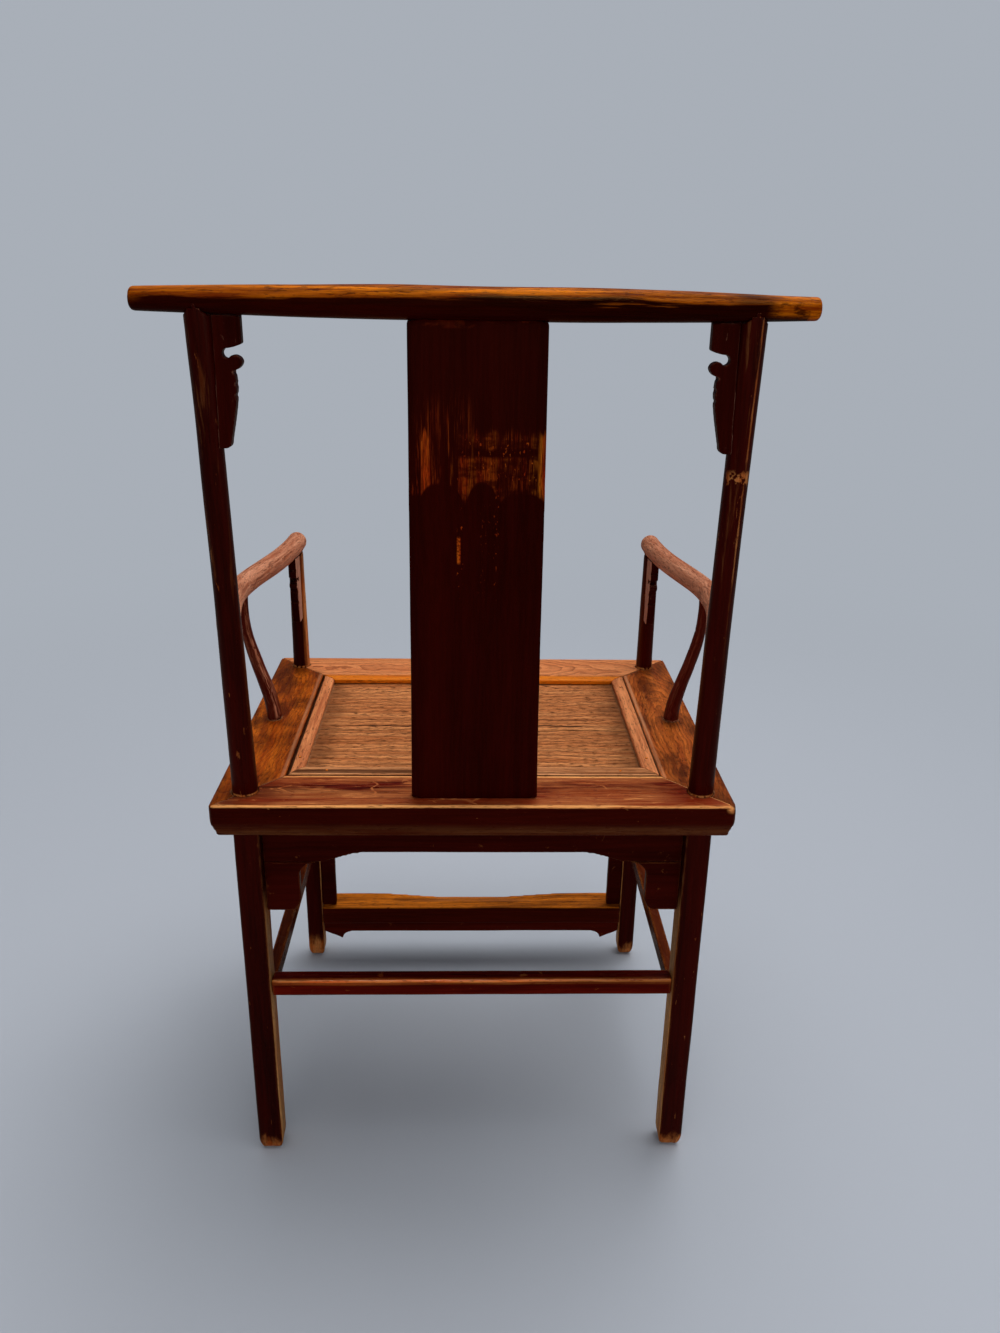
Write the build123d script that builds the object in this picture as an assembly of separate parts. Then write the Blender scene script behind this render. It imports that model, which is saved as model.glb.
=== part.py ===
from build123d import *
from math import atan, degrees
import os

# Official's hat armchair, built as a joiner builds it: every board, rail, post and peg is its
# own solid, joined with tenons, tongues and coped shoulders.
# Millimetres. +Z is up, the sitter faces -Y and the sitter's left hand is on +X.
# The origin lies on the floor under the middle of the seat.

# ---- fits ------------------------------------------------------------------------------
joint_clearance = 0.15  # all round a tenon, tongue, shank or peg in its hole
tenon_inset = 4.0  # a stretcher's tenon is this much smaller than its bar on each side

# ---- seat frame ------------------------------------------------------------------------
seat_width = 570.0
seat_depth = 460.0
seat_height = 500.0  # floor to the frame's top face
seat_thickness = 39.0
side_rail_width = 71.0
rear_rail_width = 75.0
front_rail_width = 70.0
ledge_width = 16.0  # step inside the opening that carries the panel
frame_corner_radius = 5.0
frame_arris = 2.0
edge_moulding_height = 17.0
edge_moulding_depth = 6.0
rail_tenon_width = 15.0
rail_tenon_height = 13.0
rail_tenon_set_in = 3.0  # from the opening's edge to the tenon's side
rail_tenon_end_gap = 0.5  # the through tenon's end lies this far inside the edge

# ---- seat panel, its battens and the cover beads ---------------------------------------
panel_thickness = 8.0
panel_depth_below_top = 6.5
panel_gap = 1.0
batten_spacing = 170.0
batten_width = 26.0
batten_height = 18.0
batten_tenon_length = 11.0
dovetail_width = 17.0
dovetail_depth = 2.5
dovetail_end_gap = 6.0
bead_width_rear = 22.0  # from the rail, so the gap is part of it
bead_width_front = 19.0
bead_width_left = 18.0
bead_width_right = 18.5
bead_gap = 0.8  # between a bead and its rail
bead_gap_left = 3.2  # this bead has shrunk away from its rail
bead_crown = 1.0
bead_pin_diameter = 2.6
bead_pin_length = 11.0
bead_pin_from_corner = 45.0

# ---- legs and posts --------------------------------------------------------------------
rear_leg_square = 30.0
front_leg_square = 26.0
leg_outer_arris = 5.0
leg_inner_arris = 2.0
foot_rounding = 5.5
post_shoulder = 0.6  # the round post stands inside the square rear leg by this much
rear_leg_inset_x = 33.0  # seat edge to leg centre
rear_leg_inset_y = 37.0
front_leg_inset_x = 34.5
front_leg_inset_y = 30.0
rear_post_top_diameter = 25.5
rear_post_waist = 1.6  # off the diameter at half height
rear_post_lean = 19.0
rear_post_lean_power = 1.6  # upright at the seat, leaning more and more above
rear_post_splay = 4.0
front_post_diameter = 24.0
front_post_top_diameter = 21.5

# ---- crest rail ------------------------------------------------------------------------
crest_length = 631.0
crest_axis_height = 509.0  # above the seat
crest_middle_diameter = 32.0
crest_end_diameter = 22.0
crest_end_rounding = 4.0
post_saddle_below_axis = 3.0  # the post's cheeks stop this far under the rail's axis
post_tenon_square = 10.0
post_tenon_above_axis = 5.0

# ---- splat -----------------------------------------------------------------------------
splat_width = 137.0
splat_head_width = 131.0
splat_thickness = 11.0
splat_inset_y = 25.0  # seat's rear edge to the splat's middle
splat_bow = 6.0
splat_tongue_thickness = 7.0
splat_tongue_shoulder = 8.0
splat_tongue_depth = 12.0

# ---- carved boards under the crest -----------------------------------------------------
crest_bracket_thickness = 12.0
crest_bracket_reach = 39.0  # from the post's axis to the board's free edge
crest_bracket_drop = 134.0  # below the crest's axis
crest_bracket_flat = 22.0  # plain edge between the crest and the hook
crest_bracket_set_forward = 4.0  # in front of the crest's axis
hook_notch = 0.36  # how far the notch above the hook cuts in, as a share of the reach
# Points along the carved edge as shares of the height below the plain edge:
# how far in from the free edge (or from the notch), then how far down.
notch_lip = (0.07, 0.030)
notch_top = (0.0, 0.045)
notch_back = (0.05, 0.085)
notch_floor = (-0.01, 0.135)
hook_top = (0.04, 0.115)
hook_tip = (0.005, 0.165)
hook_under = (0.035, 0.225)
hook_neck = (0.088, 0.250)
body_upper = (0.078, 0.45)
body_middle = (0.10, 0.62)
body_lower = (0.135, 0.79)
toe_corner = (0.165, 0.93)
toe_end = (0.24, 1.0)

# ---- arms, their struts and brackets ---------------------------------------------------
arm_axis_height = 177.0  # above the seat
arm_diameter = 28.0
arm_rear_diameter = 25.0
arm_tip_diameter = 27.0
arm_overhang = 29.0  # past the front post's axis
arm_tip_lift = 3.0
arm_shoulder_out = 4.5  # outward, as far behind the front post as the bulge is wide
arm_bulge = 31.0  # outward, from the line between the posts
arm_bulge_set_back = 4.0  # the widest place, behind the middle of the seat
arm_rear_slant = 0.28  # inward for each millimetre to the rear, at the rear post
arm_tip_rounding = 11.0
arm_tenon_width = 8.0
arm_tenon_height = 13.0
arm_tenon_length = 9.0
front_post_tenon_square = 9.0
front_post_tenon_length = 14.0
strut_foot_inset = 30.0  # seat edge to the strut's axis
strut_set_forward = 6.0  # in front of the middle of the seat
strut_lower_bend = (0.38, 0.52)  # share of its rise, share of its lean outward
strut_upper_bend = (0.62, 1.0)
strut_foot_slant = 0.12  # outward for each millimetre of rise, at the foot
strut_head_slant = -0.05
strut_foot_diameter = 20.0
strut_lower_diameter = 17.6
strut_middle_diameter = 16.0
strut_upper_diameter = 14.2
strut_top_diameter = 12.5
strut_peg_diameter = 11.0
strut_peg_length = 14.0
strut_tip_diameter = 7.0
strut_tip_length = 8.0
arm_bracket_thickness = 11.0
arm_bracket_reach = 43.0  # from the front post's axis
arm_bracket_drop = 103.0  # below the arm's axis
arm_bracket_flat = 20.0
arm_bracket_set_in = 1.5  # from the post's axis toward the seat

# ---- aprons under the seat -------------------------------------------------------------
apron_thickness = 10.0
apron_setback = 13.0  # behind the legs' outer faces
front_apron_setback = 10.0
apron_height = 39.0
apron_end_height = 51.0
apron_arch_run = 114.0  # leg to the start of the arch
apron_feather_run = 66.0  # leg to the tip where the arch meets the head
head_width = 39.0
head_drop = 63.5
head_curve_drop = 19.0
head_toe = 8.0
front_strip_width = 22.0
front_strip_curve_drop = 31.0
front_strip_toe = 1.0
arch_handle = 0.35  # how full the curve at the arch's ends is
tongue_depth = 4.0
tongue_thickness = 5.0
tongue_end_gap = 3.0

# ---- stretchers and footrest -----------------------------------------------------------
rear_stretcher_height = 243.0  # floor to its axis
rear_stretcher_tall = 22.0
rear_stretcher_deep = 20.0
side_stretcher_height = 207.0
side_stretcher_tall = 22.0
side_stretcher_wide = 15.0
stretcher_tenon_length = 16.0
stretcher_arris = 2.0
footrest_height = 93.0  # floor to its top
footrest_thickness = 30.0
footrest_rear_overlap = 16.0  # behind the front legs' axis
footrest_projection = 28.0  # in front of that axis
footrest_ear_gap = 0.25
footrest_wear = 8.0
footrest_wear_reach = 26.0
footrest_wear_end_gap = 55.0  # from the legs to the worn hollow
footrest_tenon_height = 16.0
footrest_apron_height = 21.5
footrest_apron_thickness = 10.0
cusp_drop = 13.5
cusp_run = 30.0  # leg to the point of the cusp
cusp_lead = 22.0  # the curve that leads to the point

# ---- pegs ------------------------------------------------------------------------------
crest_peg_diameter = 5.0
arm_peg_diameter = 4.0
peg_past_tenon = 2.0

# ---- places worked out from the sizes above ---------------------------------------------
half_width = seat_width / 2
half_depth = seat_depth / 2
frame_bottom = seat_height - seat_thickness
opening_x = half_width - side_rail_width
opening_rear = half_depth - rear_rail_width
opening_front = -half_depth + front_rail_width
panel_top = seat_height - panel_depth_below_top
panel_bottom = panel_top - panel_thickness
rear_leg = (half_width - rear_leg_inset_x, half_depth - rear_leg_inset_y)
front_leg = (half_width - front_leg_inset_x, -half_depth + front_leg_inset_y)
rear_half_leg = rear_leg_square / 2
front_half_leg = front_leg_square / 2
rear_post_radius = rear_half_leg - post_shoulder
front_post_radius = front_post_diameter / 2
crest_z = seat_height + crest_axis_height
crest_y = rear_leg[1] + rear_post_lean
arm_z = seat_height + arm_axis_height
post_top_x = rear_leg[0] + rear_post_splay
far = seat_width + seat_depth + crest_z  # longer than anything here


# ---- small helpers ---------------------------------------------------------------------
def block(x, y, z, grow=0.0):
    """A box between two limits on each axis, with every face moved out by grow."""
    size = [abs(limits[1] - limits[0]) + 2 * grow for limits in (x, y, z)]
    middle = [(limits[0] + limits[1]) / 2 for limits in (x, y, z)]
    return Pos(*middle) * Box(*size)


def prism(points, plane, thickness):
    """A board cut to a straight-sided outline, centred on its plane."""
    outline = make_face(Polyline(*points, close=True))
    return extrude(plane * outline, thickness / 2, both=True)


def board(edges, plane, thickness):
    """A board whose outline is made of lines and curves, centred on its plane."""
    return extrude(plane * make_face(edges), thickness / 2, both=True)


def rod(path, stations):
    """A round bar along a path, with a diameter at each share of its length."""
    rings = [(path ^ share) * Circle(diameter / 2) for share, diameter in stations]
    return loft(rings)


def mirrored(piece):
    """The same piece on the other side of the chair."""
    return mirror(piece, about=Plane.YZ)


def save(name, piece):
    """Writes one node's STEP file."""
    export_step(piece, f"parts/{name}.step")


# ---- seat frame ------------------------------------------------------------------------
def frame_ring():
    """The whole mitred frame before it is cut into four rails."""
    outline = RectangleRounded(seat_width, seat_depth, frame_corner_radius)
    slope = degrees(atan(edge_moulding_depth / edge_moulding_height))
    edge_line = frame_bottom + edge_moulding_height
    upper = Pos(0, 0, edge_line) * extrude(outline, seat_thickness - edge_moulding_height)
    lower = Pos(0, 0, edge_line) * extrude(outline, -edge_moulding_height, taper=slope)
    ring = upper + lower
    top_edges = ring.faces().sort_by(Axis.Z)[-1].edges()
    ring = fillet(top_edges, frame_arris)
    ring -= block((-opening_x, opening_x), (opening_front, opening_rear), (panel_bottom, far))
    inner_x = opening_x - ledge_width
    inner_y = (opening_front + ledge_width, opening_rear - ledge_width)
    return ring - block((-inner_x, inner_x), inner_y, (0, far))


def mitre_area(end):
    """The part of the plan between the two mitre lines of the front or rear rail."""
    edge, opening = (half_depth, opening_rear) if end == "rear" else (-half_depth, opening_front)
    tip_y = edge - (edge - opening) * half_width / side_rail_width
    corner_y = 2 * edge - tip_y
    points = [(0, tip_y), (seat_width, corner_y), (-seat_width, corner_y)]
    return prism(points, Plane.XY, 2 * far)


def rail_tenon(end, side, grow=0.0):
    """The tenon at one end of the front or rear rail; it runs right through the side rail."""
    y0 = opening_rear + rail_tenon_set_in if end == "rear" else opening_front - rail_tenon_set_in
    y1 = y0 + rail_tenon_width if end == "rear" else y0 - rail_tenon_width
    z = frame_bottom + edge_moulding_height + rail_tenon_height / 2
    tip = half_width - rail_tenon_end_gap + 2 * grow
    return block(
        (side * (opening_x - ledge_width), side * tip),
        (y0, y1),
        (z - rail_tenon_height / 2, z + rail_tenon_height / 2),
        grow,
    )


def shank_holes():
    """Round holes through the frame for the four legs' shanks."""
    holes = []
    for (x, y), radius in ((rear_leg, rear_post_radius), (front_leg, front_post_radius)):
        for side in (1, -1):
            hole = Cylinder(radius + joint_clearance, 3 * seat_thickness)
            holes.append(Pos(side * x, y, seat_height) * hole)
    return holes


def end_rail(end):
    """The front or rear rail, which carries the tenons at both ends."""
    rail = frame_ring() & mitre_area(end)
    for side in (1, -1):
        rail += rail_tenon(end, side)
    rail -= shank_holes()
    for side in (1, -1):
        rail -= batten_tenon(side, end, joint_clearance)
    for pin in bead_pins(joint_clearance):
        rail -= pin
    if end == "rear":
        rail -= splat_foot_tongue(joint_clearance)
    return rail


def side_rail(side):
    """The left or right rail, with its mortises right through to the outer edge."""
    rail = frame_ring() - mitre_area("rear") - mitre_area("front")
    rail = rail & block((0, side * far), (-far, far), (0, far))
    for end in ("rear", "front"):
        rail -= rail_tenon(end, side, joint_clearance)
    rail -= shank_holes()
    rail -= strut_peg(side, joint_clearance)
    for pin in bead_pins(joint_clearance):
        rail -= pin
    return rail


# ---- seat panel ------------------------------------------------------------------------
def dovetail(side, grow=0.0):
    """The wedge-shaped rib on top of a batten, which slides into the panel's groove."""
    x = side * batten_spacing / 2
    narrow = dovetail_width / 2 - dovetail_depth / 2 + grow
    wide = dovetail_width / 2 + grow
    top = panel_bottom + dovetail_depth + grow
    points = [(x - narrow, panel_bottom), (x + narrow, panel_bottom), (x + wide, top), (x - wide, top)]
    middle = (opening_front + opening_rear) / 2
    length = opening_rear - opening_front - 2 * ledge_width - 2 * dovetail_end_gap + 2 * grow
    return prism(points, Plane.XZ.offset(-middle), length)


def seat_panel():
    """One board lying loose on the ledge, with two dovetail grooves underneath."""
    panel = block(
        (-opening_x + panel_gap, opening_x - panel_gap),
        (opening_front + panel_gap, opening_rear - panel_gap),
        (panel_bottom, panel_top),
    )
    for side in (1, -1):
        panel -= dovetail(side, joint_clearance)
    for pin in bead_pins(joint_clearance):
        panel -= pin
    return panel


def batten_tenon(side, end, grow=0.0):
    """A batten's stub tenon in the front or rear rail's ledge."""
    x = side * batten_spacing / 2
    half = batten_width / 2 - tenon_inset
    z1 = panel_bottom - tenon_inset
    z0 = z1 - batten_height + 2 * tenon_inset
    if end == "rear":
        y0 = opening_rear - ledge_width
        y = (y0 - tenon_inset, y0 + batten_tenon_length)
    else:
        y0 = opening_front + ledge_width
        y = (y0 + tenon_inset, y0 - batten_tenon_length)
    return block((x - half, x + half), y, (z0, z1), grow)


def seat_batten(side):
    """A crossbar under the panel from the front rail to the rear rail."""
    x = side * batten_spacing / 2
    batten = block(
        (x - batten_width / 2, x + batten_width / 2),
        (opening_front + ledge_width, opening_rear - ledge_width),
        (panel_bottom - batten_height, panel_bottom),
    )
    batten += dovetail(side)
    for end in ("rear", "front"):
        batten += batten_tenon(side, end)
    return batten


def bead_bar(width, length):
    """A straight cover bead along X with a crowned top; its outer side is on Y = 0."""
    height = panel_depth_below_top
    edges = Polyline((0, height), (0, 0), (width, 0), (width, height))
    edges += ThreePointArc((0, height), (width / 2, height + bead_crown), (width, height))
    return board(edges, Plane.YZ, length)


def bead_mitre_area(end):
    """The part of the plan that belongs to the front or rear bead."""
    if end == "rear":
        outer_y, inner_y = opening_rear, opening_rear - bead_width_rear
    else:
        outer_y, inner_y = opening_front, opening_front + bead_width_front
    points = []
    for side, width in ((1, bead_width_left), (-1, bead_width_right)):
        run = (opening_x, opening_x - width)
        slope = (outer_y - inner_y) / (run[0] - run[1])
        reach = opening_x / 2
        points.append((side * (run[0] + reach), outer_y + slope * reach))
        points.append((side * (run[0] - 2 * reach), outer_y - slope * 2 * reach))
    outer_left, tip_left, outer_right, tip_right = points
    return prism([outer_left, tip_left, tip_right, outer_right], Plane.XY, 2 * far)


def seat_bead(place):
    """A mitred cover bead lying on the panel's edge, beside one rail."""
    if place == "rear":
        bar = bead_bar(bead_width_rear - bead_gap, seat_width)
        bar = Pos(0, opening_rear - bead_gap, panel_top) * Rot(0, 0, 180) * bar
    elif place == "front":
        bar = bead_bar(bead_width_front - bead_gap, seat_width)
        bar = Pos(0, opening_front + bead_gap, panel_top) * bar
    elif place == "left":
        bar = bead_bar(bead_width_left - bead_gap_left, seat_depth)
        bar = Pos(opening_x - bead_gap_left, 0, panel_top) * Rot(0, 0, 90) * bar
    else:
        bar = bead_bar(bead_width_right - bead_gap, seat_depth)
        bar = Pos(-opening_x + bead_gap, 0, panel_top) * Rot(0, 0, -90) * bar
    bar = bar & block(
        (-opening_x + bead_gap, opening_x - bead_gap),
        (opening_front + bead_gap, opening_rear - bead_gap),
        (0, far),
    )
    if place in ("rear", "front"):
        bar = bar & bead_mitre_area(place)
    else:
        bar = bar - bead_mitre_area("rear") - bead_mitre_area("front")
    for pin in bead_pins(joint_clearance):
        bar -= pin
    return bar


def bead_pin_places():
    """Plan positions of the bamboo pins: two along each bead, over the ledge."""
    places = []
    inner = {
        "rear": opening_rear - bead_width_rear / 2,
        "front": opening_front + bead_width_front / 2,
        "left": opening_x - bead_width_left / 2,
        "right": -opening_x + bead_width_right / 2,
    }
    for sign in (1, -1):
        along = sign * (opening_x - bead_pin_from_corner)
        places.append((along, inner["rear"]))
        places.append((along, inner["front"]))
    for y in (opening_rear - bead_pin_from_corner, opening_front + bead_pin_from_corner):
        places.append((inner["left"], y))
        places.append((inner["right"], y))
    return places


def bead_pins(grow=0.0):
    """Bamboo pins through the beads and the panel into the ledge."""
    pins = []
    top = seat_height + bead_crown
    bottom = panel_top - bead_pin_length
    for x, y in bead_pin_places():
        pin = Cylinder(bead_pin_diameter / 2 + grow, top - bottom + 2 * grow)
        pins.append(Pos(x, y, (top + bottom) / 2 + grow) * pin)
    return pins


# ---- legs and posts --------------------------------------------------------------------
def square_leg(place, size):
    """The square leg under the seat, with softened arrises and a rounded foot."""
    x, y = place
    leg = Pos(x, y, frame_bottom / 2) * Box(size, size, frame_bottom)
    outer = leg.edges().filter_by(Axis.Z).filter_by(lambda edge: edge.center().X > x)
    leg = fillet(outer, leg_outer_arris)
    inner = leg.edges().filter_by(Axis.Z).sort_by(Axis.X)[:2]
    leg = fillet(inner, leg_inner_arris)
    return fillet(leg.faces().sort_by(Axis.Z)[0].edges(), foot_rounding)


def rear_post_centre(height):
    """The post's axis at a height above the seat: upright at the seat, leaning back above."""
    share = height / crest_axis_height
    return (rear_leg[0] + rear_post_splay * share, rear_leg[1] + rear_post_lean * share**rear_post_lean_power)


def rear_post_diameter(height):
    """The post thins toward the crest rail, with a slight waist."""
    share = height / crest_axis_height
    even = 2 * rear_post_radius + (rear_post_top_diameter - 2 * rear_post_radius) * share
    return even - 4 * share * (1 - share) * rear_post_waist


def rear_post_core():
    """The left rear leg and post without its joints, running up to the crest's axis."""
    shank = Pos(*rear_leg, frame_bottom + seat_thickness / 2) * Cylinder(rear_post_radius, seat_thickness)
    rings = []
    for share in (0.0, 0.25, 0.5, 0.75, 1.0):
        height = (crest_axis_height - post_saddle_below_axis) * share
        ring = Circle(rear_post_diameter(height) / 2)
        rings.append(Pos(*rear_post_centre(height), seat_height + height) * ring)
    return square_leg(rear_leg, rear_leg_square) + shank + loft(rings)


def crest_tenon(grow=0.0):
    """The square tenon on top of the left rear post, inside the crest rail."""
    half = post_tenon_square / 2
    return block(
        (post_top_x - half, post_top_x + half),
        (crest_y - half, crest_y + half),
        (crest_z - crest_middle_diameter, crest_z + post_tenon_above_axis),
        grow,
    )


def rear_post():
    """The left rear leg and post in one piece, with the mortises of all that it holds."""
    post = rear_post_core() - crest_rail_blank()
    post += crest_tenon()
    post -= arm_tenon(joint_clearance)
    post -= rear_stretcher_tenon(joint_clearance)
    post -= side_stretcher_tenon("rear", joint_clearance)
    for groove in rear_leg_grooves():
        post -= groove
    return post - crest_peg(joint_clearance)


def front_post_core():
    """The left front leg and arm post without its joints, running up to the arm's axis."""
    shank = Pos(*front_leg, frame_bottom + seat_thickness / 2) * Cylinder(front_post_radius, seat_thickness)
    foot = Pos(*front_leg, seat_height) * Circle(front_post_radius)
    top = Pos(*front_leg, arm_z) * Circle(front_post_top_diameter / 2)
    return square_leg(front_leg, front_leg_square) + shank + loft([foot, top])


def front_post_tenon(grow=0.0):
    """The square tenon on top of the left front post, inside the arm."""
    half = front_post_tenon_square / 2
    x, y = front_leg
    top = arm_z - arm_diameter / 2 + front_post_tenon_length
    return block((x - half, x + half), (y - half, y + half), (arm_z - arm_diameter, top), grow)


def front_post():
    """The left front leg and arm post in one piece."""
    post = front_post_core() - arm_blank()
    post += front_post_tenon()
    post -= side_stretcher_tenon("front", joint_clearance)
    post -= footrest_tenon(joint_clearance)
    for groove in front_leg_grooves():
        post -= groove
    return post - arm_peg(joint_clearance)


# ---- crest rail ------------------------------------------------------------------------
def crest_rail_blank():
    """The crest rail as turned: thick in the middle, tapering to rounded ends."""
    half = crest_length / 2
    end = crest_end_diameter / 2
    middle = crest_middle_diameter / 2
    edges = Polyline((-half, end), (-half, 0), (half, 0), (half, end))
    edges += ThreePointArc((-half, end), (0, middle), (half, end))
    rail = revolve(make_face(edges), Axis.X)
    ends = rail.edges().filter_by(GeomType.CIRCLE).filter_by(lambda e: abs(e.center().X) > half - 1)
    rail = fillet(ends, crest_end_rounding)
    return Pos(0, crest_y, crest_z) * rail


def crest_peg(grow=0.0):
    """The left peg, driven in from the front through the rail and the post's tenon."""
    front = crest_y - crest_middle_diameter / 2
    back = crest_y + post_tenon_square / 2 + peg_past_tenon
    peg = Cylinder(crest_peg_diameter / 2 + grow, back - front + 2 * grow)
    return Pos(post_top_x, (front + back) / 2, crest_z) * Rot(90, 0, 0) * peg


def crest_rail():
    """The crest rail with mortises for both posts and a groove for the splat."""
    rail = crest_rail_blank()
    cuts = [crest_tenon(joint_clearance), crest_peg(joint_clearance)]
    for cut in cuts:
        rail -= cut
        rail -= mirrored(cut)
    return rail - splat_head_tongue(joint_clearance)


def crest_pegs():
    """Both crest pegs, trimmed to the rail's round face."""
    peg = crest_peg() & crest_rail_blank()
    return [peg, mirrored(peg)]


# ---- splat -----------------------------------------------------------------------------
def splat_y(height):
    """The splat's middle at a height above the seat, at its foot and its head."""
    foot = half_depth - splat_inset_y
    share = height / crest_axis_height
    return foot + (crest_y - foot) * share


def splat_foot_tongue(grow=0.0):
    """The tongue that stands in the rear rail."""
    half = splat_width / 2 - splat_tongue_shoulder
    y = splat_y(0)
    t = splat_tongue_thickness / 2
    z = (seat_height - splat_tongue_depth, seat_height + splat_tongue_depth)
    return block((-half, half), (y - t, y + t), z, grow)


def splat_head_tongue(grow=0.0):
    """The tongue that stands in the crest rail."""
    half = splat_head_width / 2 - splat_tongue_shoulder
    t = splat_tongue_thickness / 2
    under = crest_z - crest_middle_diameter / 2
    return block(
        (-half, half),
        (crest_y - t, crest_y + t),
        (under - splat_tongue_depth, under + splat_tongue_depth),
        grow,
    )


def back_splat():
    """A broad board, gently bent in an S from seat to crest."""
    quarter = crest_axis_height / 4
    bends = ((0, 0), (quarter, -splat_bow), (3 * quarter, splat_bow / 3), (4 * quarter, 0))
    middle = [(splat_y(height) + bow, seat_height + height) for height, bow in bends]
    half = splat_thickness / 2
    rear = Spline(*[(y + half, z) for y, z in middle], tangents=[(0, 1), (0, 1)])
    front = Spline(*[(y - half, z) for y, z in middle], tangents=[(0, 1), (0, 1)])
    foot = Line(front @ 0, rear @ 0)
    head = Line(front @ 1, rear @ 1)
    splat = board(rear + front + foot + head, Plane.YZ, splat_width)
    low, high = splat_width / 2, splat_head_width / 2
    outline = [(-low, seat_height), (low, seat_height), (high, crest_z), (-high, crest_z)]
    splat = splat & prism(outline, Plane.XZ, 2 * far)
    splat -= crest_rail_blank()
    return splat + splat_foot_tongue() + splat_head_tongue()


# ---- carved boards ---------------------------------------------------------------------
def carved_edge(reach, drop, flat):
    """The cut edge of a hanging bracket, from its top corner to its toe.

    Points are (distance from the post's axis, depth below the top); flat is the plain
    part of the edge above the hook.
    """
    body = drop - flat
    shelf = reach * (1 - hook_notch)

    def at(edge, point):
        return (edge - point[0] * body, flat + point[1] * body)

    return [
        Line((reach, 0), (reach, flat)),
        Spline((reach, flat), at(reach, notch_lip), at(shelf, notch_top)),
        ThreePointArc(at(shelf, notch_top), at(shelf, notch_back), at(shelf, notch_floor)),
        Spline(
            at(shelf, notch_floor),
            at(reach, hook_top),
            at(reach, hook_tip),
            at(reach, hook_under),
            at(reach, hook_neck),
        ),
        Spline(
            at(reach, hook_neck),
            at(reach, body_upper),
            at(reach, body_middle),
            at(reach, body_lower),
            at(reach, toe_corner),
        ),
        Bezier(at(reach, toe_corner), (at(reach, toe_corner)[0], drop), at(reach, toe_end)),
    ]


def hanging_board(reach, drop, flat, thickness, plane):
    """A bracket board in a plane whose X runs out from the post and whose Y runs down."""
    edge = Curve() + carved_edge(reach, drop, flat)
    toe = edge @ 1
    closing = Polyline((reach, 0), (0, 0), (0, drop), (toe.X, toe.Y))
    return board(edge + closing, plane, thickness)


def crest_bracket():
    """The left carved board in the corner of the rear post and the crest rail."""
    origin = (post_top_x, crest_y - crest_bracket_set_forward, crest_z)
    plane = Plane(origin=origin, x_dir=(-1, 0, 0), z_dir=(0, -1, 0))
    flat = crest_middle_diameter / 2 + crest_bracket_flat
    piece = hanging_board(crest_bracket_reach, crest_bracket_drop, flat, crest_bracket_thickness, plane)
    return piece - crest_rail_blank() - rear_post_core()


def arm_bracket():
    """The left carved board in the corner of the front post and the arm."""
    origin = (front_leg[0] - arm_bracket_set_in, front_leg[1], arm_z)
    plane = Plane(origin=origin, x_dir=(0, 1, 0), z_dir=(-1, 0, 0))
    flat = arm_diameter / 2 + arm_bracket_flat
    piece = hanging_board(arm_bracket_reach, arm_bracket_drop, flat, arm_bracket_thickness, plane)
    return piece - arm_blank() - front_post_core()


# ---- arms ------------------------------------------------------------------------------
def arm_path():
    """The left arm's axis: straight over the front post, swelling out, then back in."""
    front_x = front_leg[0]
    rear = rear_post_centre(arm_axis_height)
    tip = Vector(front_x, front_leg[1] - arm_overhang, arm_z + arm_tip_lift)
    shoulder = Vector(front_x + arm_shoulder_out, front_leg[1] + arm_bulge, arm_z)
    widest = Vector((front_x + rear[0]) / 2 + arm_bulge, arm_bulge_set_back, arm_z)
    back = Vector(rear[0], rear[1], arm_z)
    return Spline(tip, shoulder, widest, back, tangents=[(0, 1, 0), (-arm_rear_slant, 1, 0)])


def arm_blank():
    """The left arm without its joints."""
    stations = (
        (0.0, arm_tip_diameter),
        (0.2, arm_diameter),
        (0.4, arm_diameter),
        (0.6, arm_diameter),
        (0.8, arm_diameter),
        (1.0, arm_rear_diameter),
    )
    arm = rod(arm_path(), stations)
    tip = arm.faces().sort_by(Axis.Y)[0]
    return fillet(tip.edges(), arm_tip_rounding)


def arm_tenon(grow=0.0):
    """The left arm's stub tenon in the rear post."""
    x, y = rear_post_centre(arm_axis_height)
    face = y - rear_post_diameter(arm_axis_height) / 2
    half_w = arm_tenon_width / 2
    half_h = arm_tenon_height / 2
    return block(
        (x - half_w, x + half_w),
        (face - arm_tenon_length, face + arm_tenon_length),
        (arm_z - half_h, arm_z + half_h),
        grow,
    )


def arm_peg(grow=0.0):
    """A peg from the arm's inner side through the front post's tenon."""
    x = front_leg[0]
    tip = x - arm_diameter / 2
    end = x + front_post_tenon_square / 2 + peg_past_tenon
    peg = Cylinder(arm_peg_diameter / 2 + grow, end - tip + 2 * grow)
    z = arm_z - arm_diameter / 2 + front_post_tenon_length / 2
    return Pos((tip + end) / 2, front_leg[1], z) * Rot(0, 90, 0) * peg


def arm():
    """The left arm, coped to the rear post, with mortises for its post and strut."""
    piece = arm_blank() - rear_post_core()
    piece += arm_tenon() & (arm_blank() + rear_post_core())
    piece -= front_post_tenon(joint_clearance)
    piece -= strut_tip(joint_clearance)
    return piece - arm_peg(joint_clearance)


def arm_pegs():
    """Both arm pegs, trimmed to the arm's round face."""
    peg = arm_peg() & arm_blank()
    return [peg, mirrored(peg)]


# ---- struts ----------------------------------------------------------------------------
def strut_foot_point():
    """Where the left strut's axis stands on the seat."""
    return (half_width - strut_foot_inset, -strut_set_forward)


def strut_head_point():
    """Where the left strut's axis meets the arm's axis."""
    path = arm_path()
    y = -strut_set_forward
    low, high = 0.0, 1.0
    for _ in range(30):
        middle = (low + high) / 2
        low, high = (middle, high) if (path @ middle).Y < y else (low, middle)
    return (path @ low).X, y


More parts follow.
